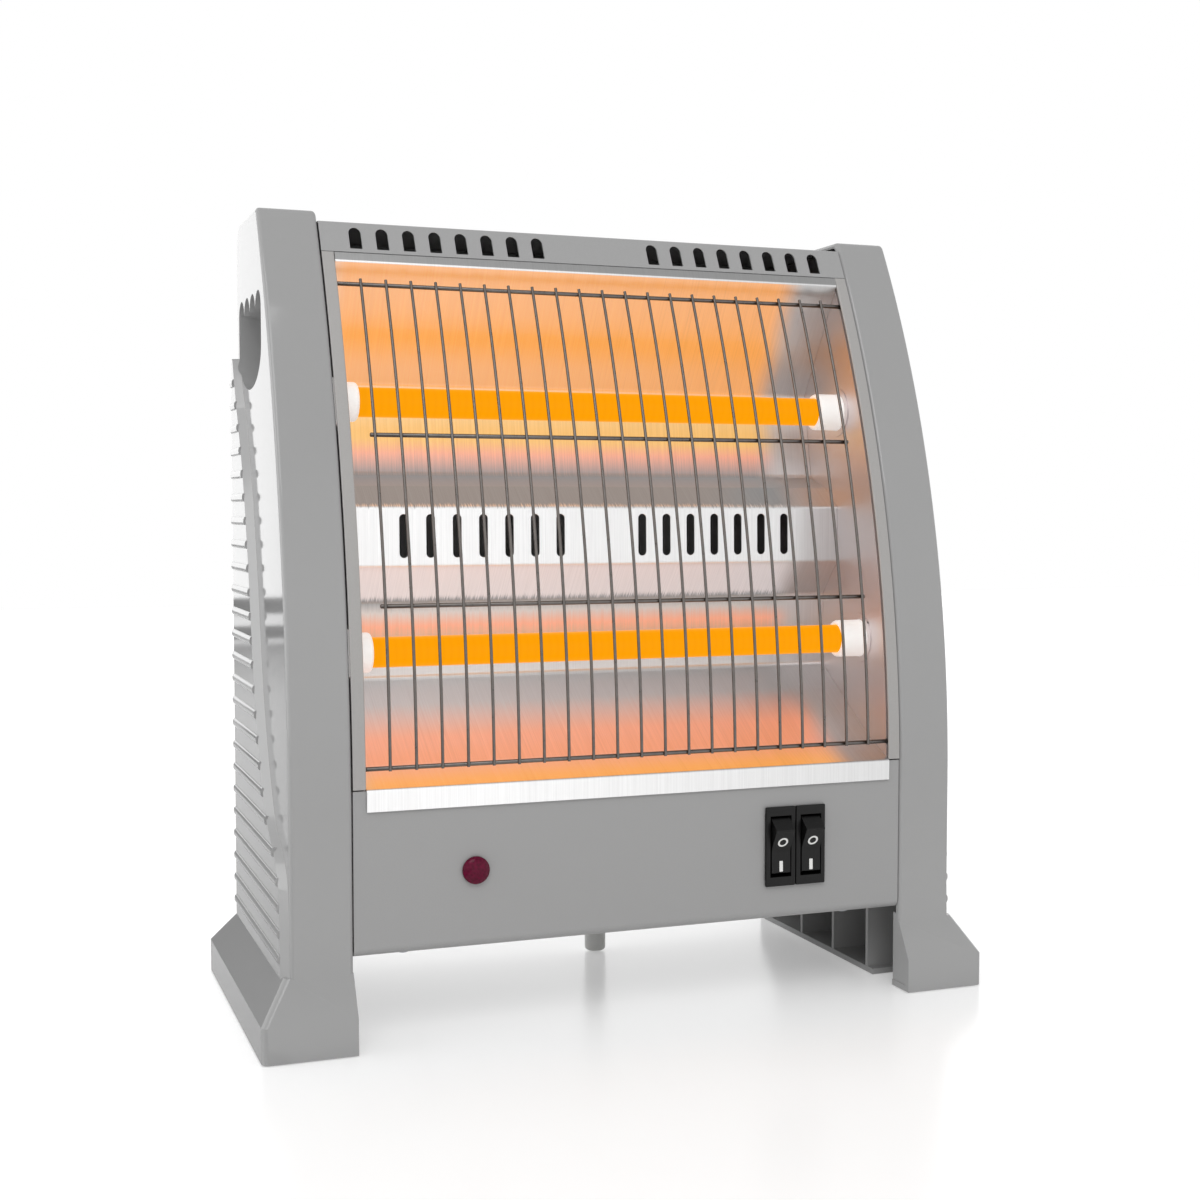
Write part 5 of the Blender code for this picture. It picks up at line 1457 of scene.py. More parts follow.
tube = {
    "radius": 0.00625,
    "bore": 0.0050,
    "end": 0.1122,
    "soft": 0.0003,
    "coilTurns": 62,
    "coilRadius": 0.0030,
    "coilWire": 0.00035,
    "coilEnd": 0.0985,
    "tail": 0.0135,
}
cap = {
    "mouthX": 0.1045,
    "radius": 0.00825,
    "mouthRound": 0.0016,
    "bore": 0.0066,
    "boreDepth": 0.0080,
    "flangeAt": 0.0134,
    "flange": 0.0022,
    "flangeRadius": 0.0100,
    "neck": 0.0045,
    "length": 0.0186,
    "studBore": 0.0019,
    "soft": 0.0004,
    "leftReach": 0.0042,  # the left cap shows less of itself: its mouth lies this much nearer its plate
}
stud = {
    "radius": 0.0016,
    "root": 0.00135,
    "pitch": 0.0007,
    "start": 0.0083,
    "nutAt": 0.0189,
    "nut": 0.0025,
    "nutRadius": 0.0034,
    "end": 0.0258,
}


def makeCap(name, mouth):
    # mouth is how much of the round body is left off at the tube's side
    s, r, flangeAt, length = cap["soft"], cap["radius"], cap["flangeAt"], cap["length"]
    top = flangeAt + cap["flange"]
    depth = max(cap["boreDepth"], mouth + 0.004)
    profile = [
        (cap["neck"] - s, length), (cap["neck"], length - s), (cap["neck"], top + s), (cap["neck"] + s, top)
    ]
    profile += [
        (cap["flangeRadius"] - s, top), (cap["flangeRadius"], top - s), (cap["flangeRadius"], flangeAt + s)
    ]
    profile += [(cap["flangeRadius"] - s, flangeAt), (r + s, flangeAt), (r, flangeAt - s)]
    round_ = cap["mouthRound"]
    for a in range(0, 91, 15):
        turn = math.radians(a)
        profile.append((r - round_ * (1 - math.cos(turn)), mouth + round_ * (1 - math.sin(turn))))
    profile += [(cap["bore"] + 0.0002, mouth), (cap["bore"], mouth + 0.0002), (cap["bore"], depth)]
    profile += [(cap["studBore"], depth), (cap["studBore"], length)]
    return softEdges(turned(name, profile, (0, 0, 0), (1, 0, 0), 64), 0)


def makeStud():
    profile = [(0, stud["end"])]
    z = stud["end"] - 0.0002
    while z > stud["nutAt"] + stud["nut"]:
        profile += [(stud["radius"], z), (stud["root"], z - stud["pitch"] / 2)]
        z -= stud["pitch"]
    profile += [(stud["radius"], stud["nutAt"]), (stud["radius"], stud["start"]), (0, stud["start"])]
    made = turned("stud", profile, (0, 0, 0), (1, 0, 0), 24)
    r, low, high = stud["nutRadius"], stud["nutAt"], stud["nutAt"] + stud["nut"]
    nut = turned(
        "nut", [
            (0, high), (r * 0.86, high), (r, high - 0.0004), (r, low + 0.0004), (r * 0.86, low), (0, low)
        ],
        (0, 0, 0), (1, 0, 0), 6,
    )
    return softEdges(combine(made, [nut], "UNION"), 0.00008, 1)


def makeTubes():
    caps = {side: makeCap("cap", cap["leftReach"] if side < 0 else 0.0) for side in (-1, 1)}
    pattern = makeStud()
    low, high = -tube["end"] - cap["leftReach"] * 0.4, tube["end"]
    outer, inner, s = tube["radius"], tube["bore"], tube["soft"]
    profile = [(outer - s, high), (outer, high - s), (outer, low + s), (outer - s, low)]
    profile += [(inner + s, low), (inner, low + s), (inner, high - s), (inner + s, high)]
    for row in ("upper", "lower"):
        middle = centreOf("quartz_tube_" + row)
        place = Vector((0, middle.y, middle.z))
        glass = softEdges(turned(row + "Tube", profile, place, (1, 0, 0), 64), 0)
        fitPiece(glass, tubeQuartz, ["quartz_tube_" + row])
        values = {
            "Turns": float(tube["coilTurns"]),
            "Coil Radius": tube["coilRadius"],
            "Length": 2 * tube["coilEnd"],
            "Wire Radius": tube["coilWire"],
            "Tail": tube["tail"],
            "Finish": resistanceWire,
        }
        coil = growTree(linkMesh(row + "Coil", bpy.data.meshes.new(row + "Coil")), windingTree, values)
        coil.data.transform(
            Matrix.Translation(
                place - Vector((tube["coilEnd"], 0, 0))
            ) @ Matrix.Rotation(math.pi / 2, 4, "Y"),
        )
        coil.data.shade_smooth()
        fitPiece(coil, resistanceWire, ["heating_coil_" + row])
        for side, word in ((-1, "left"), (1, "right")):
            mouth = place + Vector((side * cap["mouthX"], 0, 0))
            body = placedCopy(caps[side], f"{row}Cap_{word}", mouth, side)
            fitPiece(body, steatite, [f"ceramic_cap_{row}_{word}"])
            terminal = placedCopy(pattern, f"{row}Stud_{word}", mouth, side)
            fitPiece(terminal, zincSteel, [f"terminal_stud_{row}_{word}"])
    for used in (*caps.values(), pattern):
        bpy.data.objects.remove(used)


makeTubes()
print("tubes made")

switch = {
    "pivotDepth": 0.0050,
    "bezelHeight": 0.0345,
    "bezelWidth": 0.01405,
    "bezel": 0.0015,
    "bodyWidth": 0.0130,
    "bodyHeight": 0.0284,
    "bodyDepth": 0.0190,
    "pocketWidth": 0.0100,
    "pocketLow": -0.0132,
    "pocketHigh": 0.0133,
    "pocketDepth": 0.0128,
    "bladeZ": 0.0075,
}
rocker = {
    "halfWidth": 0.0044,
    "tilt": 13.5,
    "valley": 0.0052,
    "ridge": (-0.00784, 0.00986),
    "tip": (-0.0011, 0.0131),
    "back": (0.0030, 0.0100),
    "edge": 0.0003,
    "ringZ": 0.0022,
    "ringRadius": 0.00235,
    "ringStroke": 0.00085,
    "barZ": -0.0085,
    "bar": (0.0016, 0.0046),
    "ink": 0.00004,
}


def makeSwitch(word, pivot):
    front, middle = pivot.y - switch["pivotDepth"], pivot.z
    x, half = pivot.x, switch["bezelWidth"] / 2
    tall = switch["bezelHeight"] / 2
    body = softBox(
        "switch_" + word,
        (x - half, front, middle - tall),
        (x + half, front + switch["bezel"], middle + tall),
        0.0005,
    )
    back = front + switch["bezel"]
    half, tall = switch["bodyWidth"] / 2, switch["bodyHeight"] / 2
    end = back + switch["bodyDepth"]
    extras = [box("housing", (x - half, back - 0.0007, middle - tall), (x + half, end, middle + tall))]
    for z in (middle - switch["bladeZ"], middle + switch["bladeZ"]):
        blade = box("blade", (x - 0.0030, end - 0.0008, z - 0.0004), (x + 0.0030, end + 0.0080, z + 0.0004))
        hole = rod("hole", (x, end + 0.0055, z - 0.001), (x, end + 0.0055, z + 0.001), 0.0009, 20)
        extras.append(combine(blade, [hole], "DIFFERENCE"))
    body = combine(body, extras, "UNION")
    half = switch["pocketWidth"] / 2
    pocket = box(
        "pocket",
        (x - half, front - 0.001, middle + switch["pocketLow"]),
        (x + half, front + switch["pocketDepth"], middle + switch["pocketHigh"]),
    )
    socket = rod(
        "socket", (x - half - 0.0010, pivot.y, middle), (x + half + 0.0010, pivot.y, middle), 0.0018, 24
    )
    body = combine(body, [pocket, socket], "DIFFERENCE")
    return softEdges(body, 0.00025, 2)


def onRocker(z):
    # the front facets at rest, seen from the side: (y, z) of valley, ridges
    turn = Matrix.Rotation(math.radians(rocker["tilt"]), 2)
    valley = turn @ Vector((-rocker["valley"], 0))
    ridge = turn @ Vector((rocker["ridge"][0], math.copysign(rocker["ridge"][1], z - valley.y)))
    along = (ridge - valley).normalized()
    spot = valley + along * ((z - valley.y) / along.y)
    return spot, along


def makeRocker(word, pivot):
    ridge, tip, back = rocker["ridge"], rocker["tip"], rocker["back"]
    upper = [(*ridge, 0.0007), (*tip, 0.0010), (*back, 0.002)]
    corners = [(-rocker["valley"], 0.0, 0.006), *upper, *[(y, -z, r) for y, z, r in reversed(upper)]]
    outline = [Matrix.Rotation(math.radians(rocker["tilt"]), 2) @ p for p in rounded(corners, steps=8)]
    half = rocker["halfWidth"]
    made = plate("rocker_" + word, [outline], "X", -half, half)
    pin = rod("pin", (-half - 0.0012, 0, 0), (half + 0.0012, 0, 0), 0.0015, 24)
    made = softEdges(combine(made, [pin], "UNION"), rocker["edge"], 3, 30)
    made.data.transform(Matrix.Translation(pivot))
    return made


def makeMarks(word, pivot):
    # the ring and the bar are printed on the two facets
    spot, along = onRocker(rocker["ringZ"])
    outward = Vector((0, -along.y, along.x))
    r, stroke, ink = rocker["ringRadius"], rocker["ringStroke"], rocker["ink"]
    profile = [(r, ink), (r, -ink), (r - stroke, -ink), (r - stroke, ink)]
    ring = turned("marks_" + word, profile, (0, spot.x, spot.y), outward, 48)
    spot, along = onRocker(rocker["barZ"])
    wide, long = rocker["bar"][0] / 2, rocker["bar"][1] / 2
    corner = wide * 0.25
    outline = rounded(
        [(-wide, -long, corner), (wide, -long, corner), (wide, long, corner), (-wide, long, corner)]
    )
    bar = plate("bar", [outline], "Y", -ink, ink)
    lean = math.atan2(along.x, along.y)
    bar.data.transform(Matrix.Translation((0, spot.x, spot.y)) @ Matrix.Rotation(-lean, 4, "X"))
    made = combine(ring, [bar], "UNION")
    made.data.transform(Matrix.Translation(pivot))
    return softEdges(made, 0)


for word in ("left", "right"):
    low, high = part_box("switch_body_" + word)
    pivot = Vector(((low.x + high.x) / 2, low.y + switch["pivotDepth"], (low.z + high.z) / 2))
    fitPiece(makeSwitch(word, pivot), blackNylon, ["switch_body_" + word])
    fitPiece(makeRocker(word, pivot), blackNylon, ["rocker_" + word], word + "_rocker")
    fitPiece(makeMarks(word, pivot), padPrint, [], word + "_rocker")
print("switches made")

lens = {
    "radius": 0.00565,
    "rim": 0.0008,
    "dome": 0.0030,
    "stemRadius": 0.0042,
    "stem": 0.0160,
    "clipLength": 0.0035,
    "clipWall": 0.0008,
    "fingers": 4,
}


def makeLens():
    low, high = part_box("neon_lens")
    place = ((low.x + high.x) / 2, low.y + lens["dome"], (low.z + high.z) / 2)
    r, rim, dome = lens["radius"], lens["rim"], lens["dome"]
    profile = [(0, dome)]
    for i in range(1, 15):
        a = math.radians(90 * i / 14)
        profile.append((r * math.sin(a), rim + (dome - rim) * math.cos(a)))
    profile += [(r, 0.0001), (r - 0.0001, 0), (lens["stemRadius"], 0)]
    profile += [
        (lens["stemRadius"], -lens["stem"] + 0.0003),
        (lens["stemRadius"] - 0.0003, -lens["stem"]),
        (0, -lens["stem"]),
    ]
    made = softEdges(turned("neonLens", profile, place, (0, -1, 0), 64), 0)
    fitPiece(made, lensCrimson, ["neon_lens"])
    low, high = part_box("neon_clip")
    place = Vector(((low.x + high.x) / 2, low.y, (low.z + high.z) / 2))
    inner = lens["stemRadius"] + 0.0003
    outer, wall = inner + lens["clipWall"], 0.0011
    profile = [
        (r, 0),
        (r, -wall),
        (outer, -wall),
        (outer, -lens["clipLength"]),
        (inner, -lens["clipLength"]),
        (inner, 0),
    ]
    clip = turned("neonClip", profile, place, (0, -1, 0), 48)
    cuts = []
    for i in range(lens["fingers"]):
        a = math.pi * (i + 0.5) / lens["fingers"]
        side = Vector((math.cos(a), 0, math.sin(a))) * 0.007
        cuts.append(
            rod(
                "slit",
                place + Vector((0, 0.0030, 0)) - side,
                place + Vector((0, 0.0030, 0)) + side,
                0.0005,
                12,
            ),
        )
    clip = softEdges(combine(clip, cuts, "DIFFERENCE"), 0.0001, 1)
    fitPiece(clip, springSteel, ["neon_clip"])


makeLens()
print("indicator made")

backPanel = {
    "inset": 0.0033,
    "low": 0.0403,
    "high": 0.3307,
    "slots": 4,
    "first": 0.0120,
    "pitch": 0.0240,
    "width": 0.0045,
    "rows": ((0.0800, 0.1150), (0.2450, 0.2900)),
    "bushHole": 0.0060,
}
basePlate = {
    "frontFromFront": 0.0164,
    "bottom": 0.0373,
    "slots": 3,
    "pitch": 0.0260,
    "width": 0.0050,
    "slotFrom": 0.0480,
    "slotTo": 0.0900,
    "plungerHole": 0.0053,
    "screwX": 0.1000,
    "screwFromFront": 0.0200,
}


def obround(x, low, high, width, steps=12):
    r = width / 2
    return arc((x, high - r), r, 0, 180, steps) + arc((x, low + r), r, 180, 360, steps)


def makeBackPanel():
    low, high = backPanel["low"], backPanel["high"]
    path = [(rearY(z, backPanel["inset"]), z) for z in (low, high)]
    made = bentSheet("backPanel", path, sheets["thickness"], sheets["halfWidth"])
    for slotLow, slotHigh in backPanel["rows"]:
        y = rearY(slotLow)
        punch = plate(
            "punch", [obround(0, slotLow, slotHigh, backPanel["width"])], "Y", y - 0.012, y + 0.004
        )
        values = {"Count": backPanel["slots"], "First": backPanel["first"], "Pitch": backPanel["pitch"]}
        made = growTree(made, sheetTree, {**values, "Punch": punch, "Finish": panelPaint})
        bpy.data.objects.remove(punch)
    holes = []
    for name in (
        "back_screw_top_left", "back_screw_top_right", "back_screw_low_left", "back_screw_low_right"
    ):
        at = centreOf(name)
        holes.append(circle((at.x, at.z), screwHoles["radius"], 24))
    bush = centreOf("cord_bush")
    holes.append(circle((bush.x, bush.z), backPanel["bushHole"], 48))
    y = rearY(bush.z)
    made = combine(mergeDoubles(made), [plate("holes", holes, "Y", y - 0.014, y + 0.004)], "DIFFERENCE")
    return softEdges(made, sheets["edge"], 2)


def makeBasePlate():
    bottom = basePlate["bottom"]
    rear, top = rearY(sheets["lowerBottom"], sheets["rearRecess"]), bottom + sheets["rearFlange"]
    path = [
        (fromFront(basePlate["frontFromFront"]), bottom, 0),
        (rear, bottom, sheets["topBend"]),
        (rearY(top, sheets["rearRecess"]), top, 0),
    ]
    made = bentSheet(
        "basePlate", rounded(path, closed=False, steps=8), sheets["thickness"], sheets["halfWidth"]
    )
    low, high = fromFront(basePlate["slotFrom"]), fromFront(basePlate["slotTo"])
    slot = obround(0, low, high, basePlate["width"])
    punch = plate("punch", [slot], "Z", bottom - 0.002, bottom + 0.003)
    values = {"Count": basePlate["slots"], "First": basePlate["pitch"], "Pitch": basePlate["pitch"]}
    made = growTree(made, sheetTree, {**values, "Punch": punch, "Finish": panelPaint})
    bpy.data.objects.remove(punch)
    plunger = centreOf("tip_switch_plunger")
    holes = [slot, circle((plunger.x, plunger.y), basePlate["plungerHole"], 48)]
    for side in (-1, 1):
        holes.append(
            circle((side * basePlate["screwX"], fromFront(basePlate["screwFromFront"])), 0.0017, 24)
        )
    cutters = [plate("holes", holes, "Z", bottom - 0.002, bottom + 0.003)]
    for name in ("back_screw_low_left", "back_screw_low_right"):
        at = centreOf(name)
        cutters.append(
            rod("hole", (at.x, rear - 0.004, at.z), (at.x, rear + 0.004, at.z), screwHoles["radius"], 24)
        )
    made = combine(mergeDoubles(made), cutters, "DIFFERENCE")
    return softEdges(made, sheets["edge"], 2)


fitPiece(makeBackPanel(), panelPaint, ["back_panel"])
fitPiece(makeBasePlate(), panelPaint, ["base_plate"])
print("back panel and base plate made")

tipSwitch = {
    "bore": 0.0067,
    "ceiling": 0.0025,
    "plunger": 0.0050,
    "collar": 0.0064,
    "collarHeight": 0.0020,
    "noseRound": 0.0016,
    "springRadius": 0.0042,
    "springWire": 0.00045,
    "springTurns": 6,
    "edge": 0.0006,
}


def makeTipSwitch():
    low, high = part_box("tip_switch_body")
    middle = (low + high) / 2
    # two ears with a step, as the moulded case is clipped to the base
    body = box("tipSwitchBody", low, high)
    groove = box(
        "groove",
        (low.x - 0.001, low.y - 0.001, low.z + 0.0035),
        (low.x + 0.0012, high.y + 0.001, low.z + 0.0060),
    )
    other = box(
        "groove",
        (high.x - 0.0012, low.y - 0.001, low.z + 0.0035),
        (high.x + 0.001, high.y + 0.001, low.z + 0.0060),
    )
    bore = rod(
        "bore",
        (middle.x, middle.y, low.z - 0.001),
        (middle.x, middle.y, high.z - tipSwitch["ceiling"]),
        tipSwitch["bore"],
        48,
    )
    body = softEdges(combine(body, [groove, other, bore], "DIFFERENCE"), tipSwitch["edge"], 3)
    fitPiece(body, blackNylon, ["tip_switch_body"])
    plungerLow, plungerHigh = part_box("tip_switch_plunger")
    r, collar, top = tipSwitch["plunger"], tipSwitch["collar"], plungerHigh.z
    profile = [
        (0, top), (collar - 0.0004, top), (collar, top - 0.0004), (collar, top - tipSwitch["collarHeight"])
    ]
    profile += [
        (r + 0.0003, top - tipSwitch["collarHeight"]), (r, top - tipSwitch["collarHeight"] - 0.0003)
    ]
    nose = tipSwitch["noseRound"]
    for a in range(0, 91, 15):
        turn = math.radians(a)
        profile.append((r - nose * (1 - math.cos(turn)), plungerLow.z + nose * (1 - math.sin(turn))))
    profile.append((0, plungerLow.z))
    plunger = softEdges(turned("plunger", profile, (middle.x, middle.y, 0), (0, 0, 1), 48), 0)
    fitPiece(plunger, whiteNylon, ["tip_switch_plunger"], "plunger")
    springLow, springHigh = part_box("tip_switch_spring")
    wire = tipSwitch["springWire"]
    values = {
        "Turns": float(tipSwitch["springTurns"]),
        "Coil Radius": tipSwitch["springRadius"],
        "Length": springHigh.z - springLow.z - 2 * wire,
        "Wire Radius": wire,
        "Tail": 0.0,
        "Finish": springSteel,
    }
    spring = growTree(linkMesh("tipSpring", bpy.data.meshes.new("tipSpring")), windingTree, values)
    spring.data.transform(Matrix.Translation((middle.x, middle.y, springLow.z + wire)))
    spring.data.shade_smooth()
    fitPiece(spring, springSteel, ["tip_switch_spring"])


makeTipSwitch()
print("tip-over switch made")


def makeTerminalBlock():
    low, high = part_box("terminal_block")
    size = high - low
    body = box("terminalBlock", low, high)
    cutters = []
    for i in range(3):
        x = low.x + size.x * (0.5 + (i - 1) / 3)
        cutters.append(
            rod(
                "way",
                (x, low.y - 0.001, low.z + size.z * 0.45),
                (x, high.y + 0.001, low.z + size.z * 0.45),
                size.z * 0.2,
                32,
            ),
        )
        for y in (low.y + size.y * 0.25, low.y + size.y * 0.75):
            cutters.append(rod("well", (x, y, low.z + size.z * 0.6), (x, y, high.z + 0.001), 0.0021, 24))
    for i in (1, 2):
        x = low.x + size.x * i / 3
        cutters.append(
            box(
                "gap",
                (x - 0.0009, low.y - 0.001, low.z + size.z * 0.72),
                (x + 0.0009, high.y + 0.001, high.z + 0.001),
            ),
        )
    body = softEdges(combine(body, cutters, "DIFFERENCE"), 0.0003, 2)
    return fitPiece(body, whiteNylon, ["terminal_block"])


def makeCutout():
    low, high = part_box("thermal_cutout")
    middle = (low + high) / 2
    r, flange, tall = 0.0075, 0.0092, high.y - low.y
    profile = [
        (0, tall),
        (r * 0.78, tall),
        (r * 0.86, tall - 0.0005),
        (r * 0.94, tall - 0.0009),
        (r, tall - 0.0014),
        (r, 0.0013),
    ]
    profile += [
        (r + 0.0003, 0.0010),
        (flange - 0.0003, 0.0010),
        (flange, 0.0007),
        (flange, 0.0003),
        (flange - 0.0003, 0),
        (0, 0),
    ]
    made = turned("thermalCutout", profile, (middle.x, low.y, middle.z), (0, 1, 0), 64)
    return fitPiece(softEdges(made, 0), blackNylon, ["thermal_cutout"])


def makeBush():
    low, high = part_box("cord_bush")
    middle = (low + high) / 2
    outer, neck, bore, head = 0.0080, 0.0057, 0.0036, 0.0016
    depth = high.y - low.y - head
    profile = [
        (outer * 0.8, head),
        (outer * 0.9, head * 0.92),
        (outer * 0.97, head * 0.75),
        (outer, head * 0.5),
        (outer, 0.0002),
    ]
    profile += [
        (outer - 0.0002, 0),
        (neck, 0),
        (neck, -depth * 0.35),
        (neck + 0.0005, -depth * 0.42),
        (neck, -depth),
    ]
    profile += [(bore + 0.0003, -depth), (bore, -depth + 0.0003), (bore, head * 0.6), (bore + 0.0012, head)]
    made = turned("cordBush", profile, (middle.x, high.y - head, middle.z), (0, 1, 0), 64)
    return fitPiece(softEdges(made, 0), blackNylon, ["cord_bush"])


makeTerminalBlock()
makeCutout()
makeBush()
print("inner fittings made")

screw = {
    "headRadius": 0.0030,
    "head": 0.0018,
    "radius": 0.0014,
    "root": 0.00112,
    "pitch": 0.0008,
    "recess": 0.0011,
}


def makeScrew(length):
    # pan head at the top with a cross recess, and a thread-forming shank
    head, r = screw["head"], screw["headRadius"]
    profile = [
        (0, head),
        (r * 0.35, head * 0.98),
        (r * 0.62, head * 0.9),
        (r * 0.82, head * 0.74),
        (r * 0.95, head * 0.5),
    ]
    profile += [(r, head * 0.25), (r, 0.0001), (r - 0.0001, 0), (screw["radius"], 0)]
    z = -0.0006
    while z > -length + 0.0016:
        profile += [(screw["root"], z), (screw["radius"], z - screw["pitch"] / 2)]
        z -= screw["pitch"]
    profile += [(screw["root"], z), (0.0004, -length), (0, -length)]
    made = turned("screw", profile, (0, 0, 0), (0, 0, 1), 28)
    deep = head - screw["recess"]
    arms = [
        box("arm", (-0.00032, -0.0015, deep), (0.00032, 0.0015, head + 0.001)),
        box("arm", (-0.0015, -0.00032, deep), (0.0015, 0.00032, head + 0.001)),
    ]
    return softEdges(combine(made, [combine(arms[0], [arms[1]], "UNION")], "DIFFERENCE"), 0)


def fitScrews(name, nodeNames, headUp, length):
    rows = []
    for node in nodeNames:
        low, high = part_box(node)
        middle, facing = (low + high) / 2, Vector(headUp(node))
        top = Vector(
            [high[i] if facing[i] > 0 else low[i] if facing[i] < 0 else middle[i] for i in range(3)]
        )
        rows.append((top - facing * screw["head"], facing, (1.0, 1.0, 1.0)))
    made = placeParts(name, makeScrew(length), rows, zincSteel)
    fitPiece(made, zincSteel, nodeNames)


sides, four = ("left", "right"), (1, 2, 3, 4)
coverNodes = [f"cover_screw_{word}_{i}" for word in sides for i in four]
backNodes = [f"back_screw_{row}_{word}" for row in ("top", "low") for word in sides]
fitScrews("coverScrews", coverNodes, lambda node: (1, 0, 0) if "left" in node else (-1, 0, 0), 0.0100)
fitScrews("backScrews", backNodes, lambda node: (0, 1, 0), 0.0050)
fitScrews("baseScrews", ["base_screw_left", "base_screw_right"], lambda node: (0, 0, -1), 0.0050)
print("screws made")


camera = bpy.data.cameras.new("camera")
camera.lens = 50.66
camera.sensor_width = 36.0
cameraObject = bpy.data.objects.new("camera", camera)
cameraObject.location = (-0.2610, -0.7132, 0.2131)
cameraObject.rotation_euler = (math.radians(86.88), 0.0, math.radians(-20.47))
scene.collection.objects.link(cameraObject)
scene.camera = cameraObject

studio = {
    "floorSize": 6.0,
    "floorColour": "#f4f4f4",
    "floorLift": 0.30,
    "worldLevel": 0.62,
    "wallTop": 0.15,
    "ceiling": 0.80,
    "wallLevel": 1.28,
    "ceilingLevel": 0.65,
    "cardY": 1.975,
    # left and right edge, bottom, top and level
    "cards": (
        (-0.525, -0.28, 0.0, 0.006, 1.0),
        (-0.525, -0.28, 0.006, 0.0265, 0.03),
        (-0.525, -0.28, 0.0265, 0.0455, 1.3),
        (-0.525, -0.28, 0.0455, 0.0710, 0.03),
        (-0.525, -0.28, 0.0710, 1.4, 1.65),
        (-1.0, -0.527, 0.0, 0.9, 0.03),
    ),
    "floorLeft": "#adadad",
}


def seenDirectly(tree):
    path = addNode(tree, "ShaderNodeLightPath").outputs
    seen = addNode(
        tree, "ShaderNodeMath", {0: path["Is Camera Ray"], 1: path["Is Glossy Ray"]}, operation="MAXIMUM"
    ).outputs[0]
    return addNode(
        tree, "ShaderNodeMath", {0: seen, 1: path["Is Transmission Ray"]}, operation="MAXIMUM"
    ).outputs[0]


def makeFloor():
    half = studio["floorSize"] / 2
    mesh = bpy.data.meshes.new("floor")
    corners = [(-half, -half), (half, -half), (half, half), (-half, half)]
    mesh.from_pydata([(x, y, -0.0004) for x, y in corners], [], [(0, 1, 2, 3)])
    floor = linkMesh("floor", mesh)
    made, tree = startMaterial("white studio floor")
    # on the heater's left, what is mirrored of the floor is darker
    place = addNode(tree, "ShaderNodeTexCoord").outputs["Object"]
    across = addNode(tree, "ShaderNodeSeparateXYZ", {"Vector": place}).outputs["X"]
    leftward = addNode(
        tree, "ShaderNodeMapRange", {"Value": across, "From Min": -0.146, "From Max": -0.150}
    ).outputs[0]
    glossy = addNode(tree, "ShaderNodeLightPath").outputs["Is Glossy Ray"]
    darker = addNode(tree, "ShaderNodeMath", {0: leftward, 1: glossy}, operation="MULTIPLY").outputs[0]
    base = addNode(
        tree,
        "ShaderNodeMix",
        {"Factor": darker, 6: hexColour(studio["floorColour"]), 7: hexColour(studio["floorLeft"])},
        data_type="RGBA",
    )
    level = addNode(
        tree,
        "ShaderNodeMath",
        {0: darker, 1: -studio["floorLift"], 2: studio["floorLift"]},
        operation="MULTIPLY_ADD",
    )
    lift = addNode(
        tree, "ShaderNodeMath", {0: seenDirectly(tree), 1: level.outputs[0]}, operation="MULTIPLY"
    )
    shader = addNode(
        tree,
        "ShaderNodeBsdfPrincipled",
        {
            "Base Color": base.outputs[2],
            "Roughness": 0.22,
            "Emission Color": (1, 1, 1, 1),
            "Emission Strength": lift.outputs[0],
        },
    )
    endMaterial(tree, shader.outputs[0])
    mesh.materials.append(made)


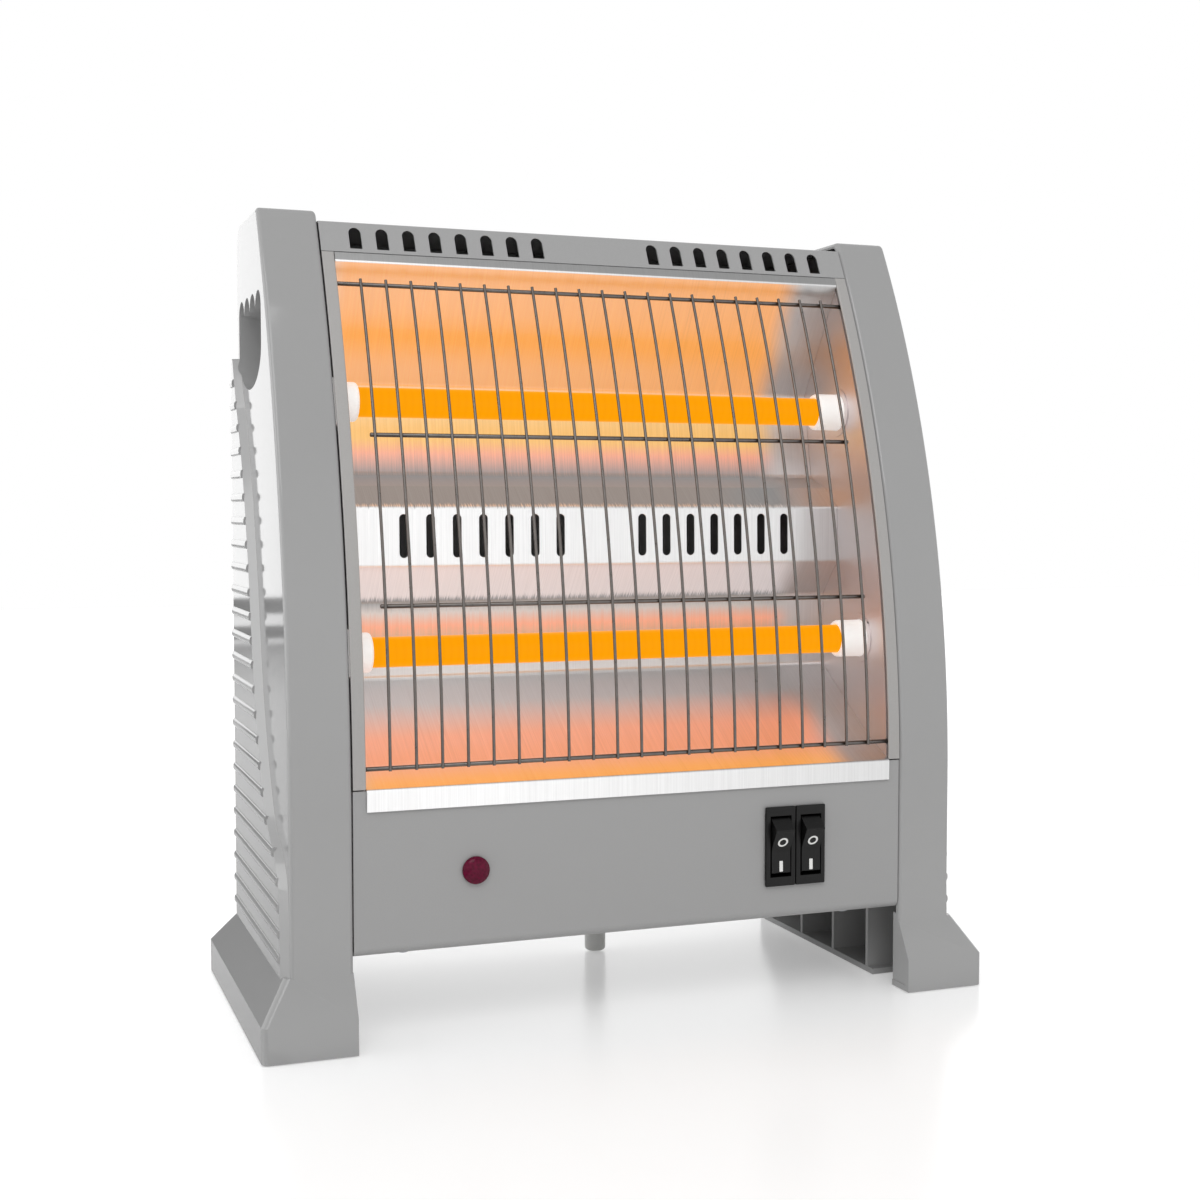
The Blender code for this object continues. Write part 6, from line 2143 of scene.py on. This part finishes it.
def makeWorld():
    world = bpy.data.worlds.new("studio")
    world.use_nodes = True
    tree = world.node_tree
    tree.nodes.clear()
    # the studio's ceiling is dim, its walls are bright; the camera itself sees plain white
    way = addNode(tree, "ShaderNodeTexCoord").outputs["Generated"]
    rise = addNode(tree, "ShaderNodeSeparateXYZ", {"Vector": way}).outputs["Z"]
    walls = addNode(
        tree,
        "ShaderNodeMapRange",
        {
            "Value": rise,
            "From Min": studio["wallTop"],
            "From Max": studio["ceiling"],
            "To Min": studio["wallLevel"],
            "To Max": studio["ceilingLevel"],
        },
        interpolation_type="SMOOTHSTEP",
    ).outputs[0]
    path = addNode(tree, "ShaderNodeLightPath").outputs
    mirrored = addNode(
        tree, "ShaderNodeMix", {"Factor": path["Is Glossy Ray"], "A": studio["worldLevel"], "B": walls}
    ).outputs[0]
    plain = addNode(
        tree, "ShaderNodeMath", {
            0: path["Is Camera Ray"], 1: path["Is Transmission Ray"]
        }, operation="MAXIMUM"
    ).outputs[0]
    level = addNode(tree, "ShaderNodeMix", {"Factor": plain, "A": mirrored, "B": 1.0})
    sky = addNode(tree, "ShaderNodeBackground", {"Color": (1, 1, 1, 1), "Strength": level.outputs[0]})
    addNode(tree, "ShaderNodeOutputWorld", {"Surface": sky.outputs[0]})
    scene.world = world


def makeCards():
    # strips behind the heater, on its left, that only its polished side reflects
    y = studio["cardY"]
    for i, (left, right, bottom, top, level) in enumerate(studio["cards"]):
        mesh = bpy.data.meshes.new(f"card{i}")
        corners = [(left, y, bottom), (right, y, bottom), (right, y, top), (left, y, top)]
        mesh.from_pydata(corners, [], [(0, 1, 2, 3)])
        card = linkMesh(f"card{i}", mesh)
        made, tree = startMaterial(f"studio card {i}")
        shader = addNode(tree, "ShaderNodeEmission", {"Strength": level})
        endMaterial(tree, shader.outputs[0])
        mesh.materials.append(made)
        card.visible_camera = False
        card.visible_diffuse = False
        card.visible_shadow = False


def addLamp(name, place, target, width, height, watts):
    lamp = bpy.data.lights.new(name, "AREA")
    lamp.shape = "RECTANGLE"
    lamp.size, lamp.size_y = width, height
    lamp.energy = watts
    made = bpy.data.objects.new(name, lamp)
    made.location = place
    made.rotation_euler = (Vector(target) - Vector(place)).to_track_quat("-Z", "Y").to_euler()
    scene.collection.objects.link(made)


makeFloor()
makeWorld()
makeCards()
addLamp("keyLamp", (-0.5, -1.3, 1.5), (0, 0, 0.15), 1.2, 1.0, 9.0)
addLamp("leftLamp", (-1.4, 0.1, 0.5), (-0.15, 0, 0.18), 0.8, 1.0, 4.0)
scene.view_settings.view_transform = "Standard"
print("studio ready")
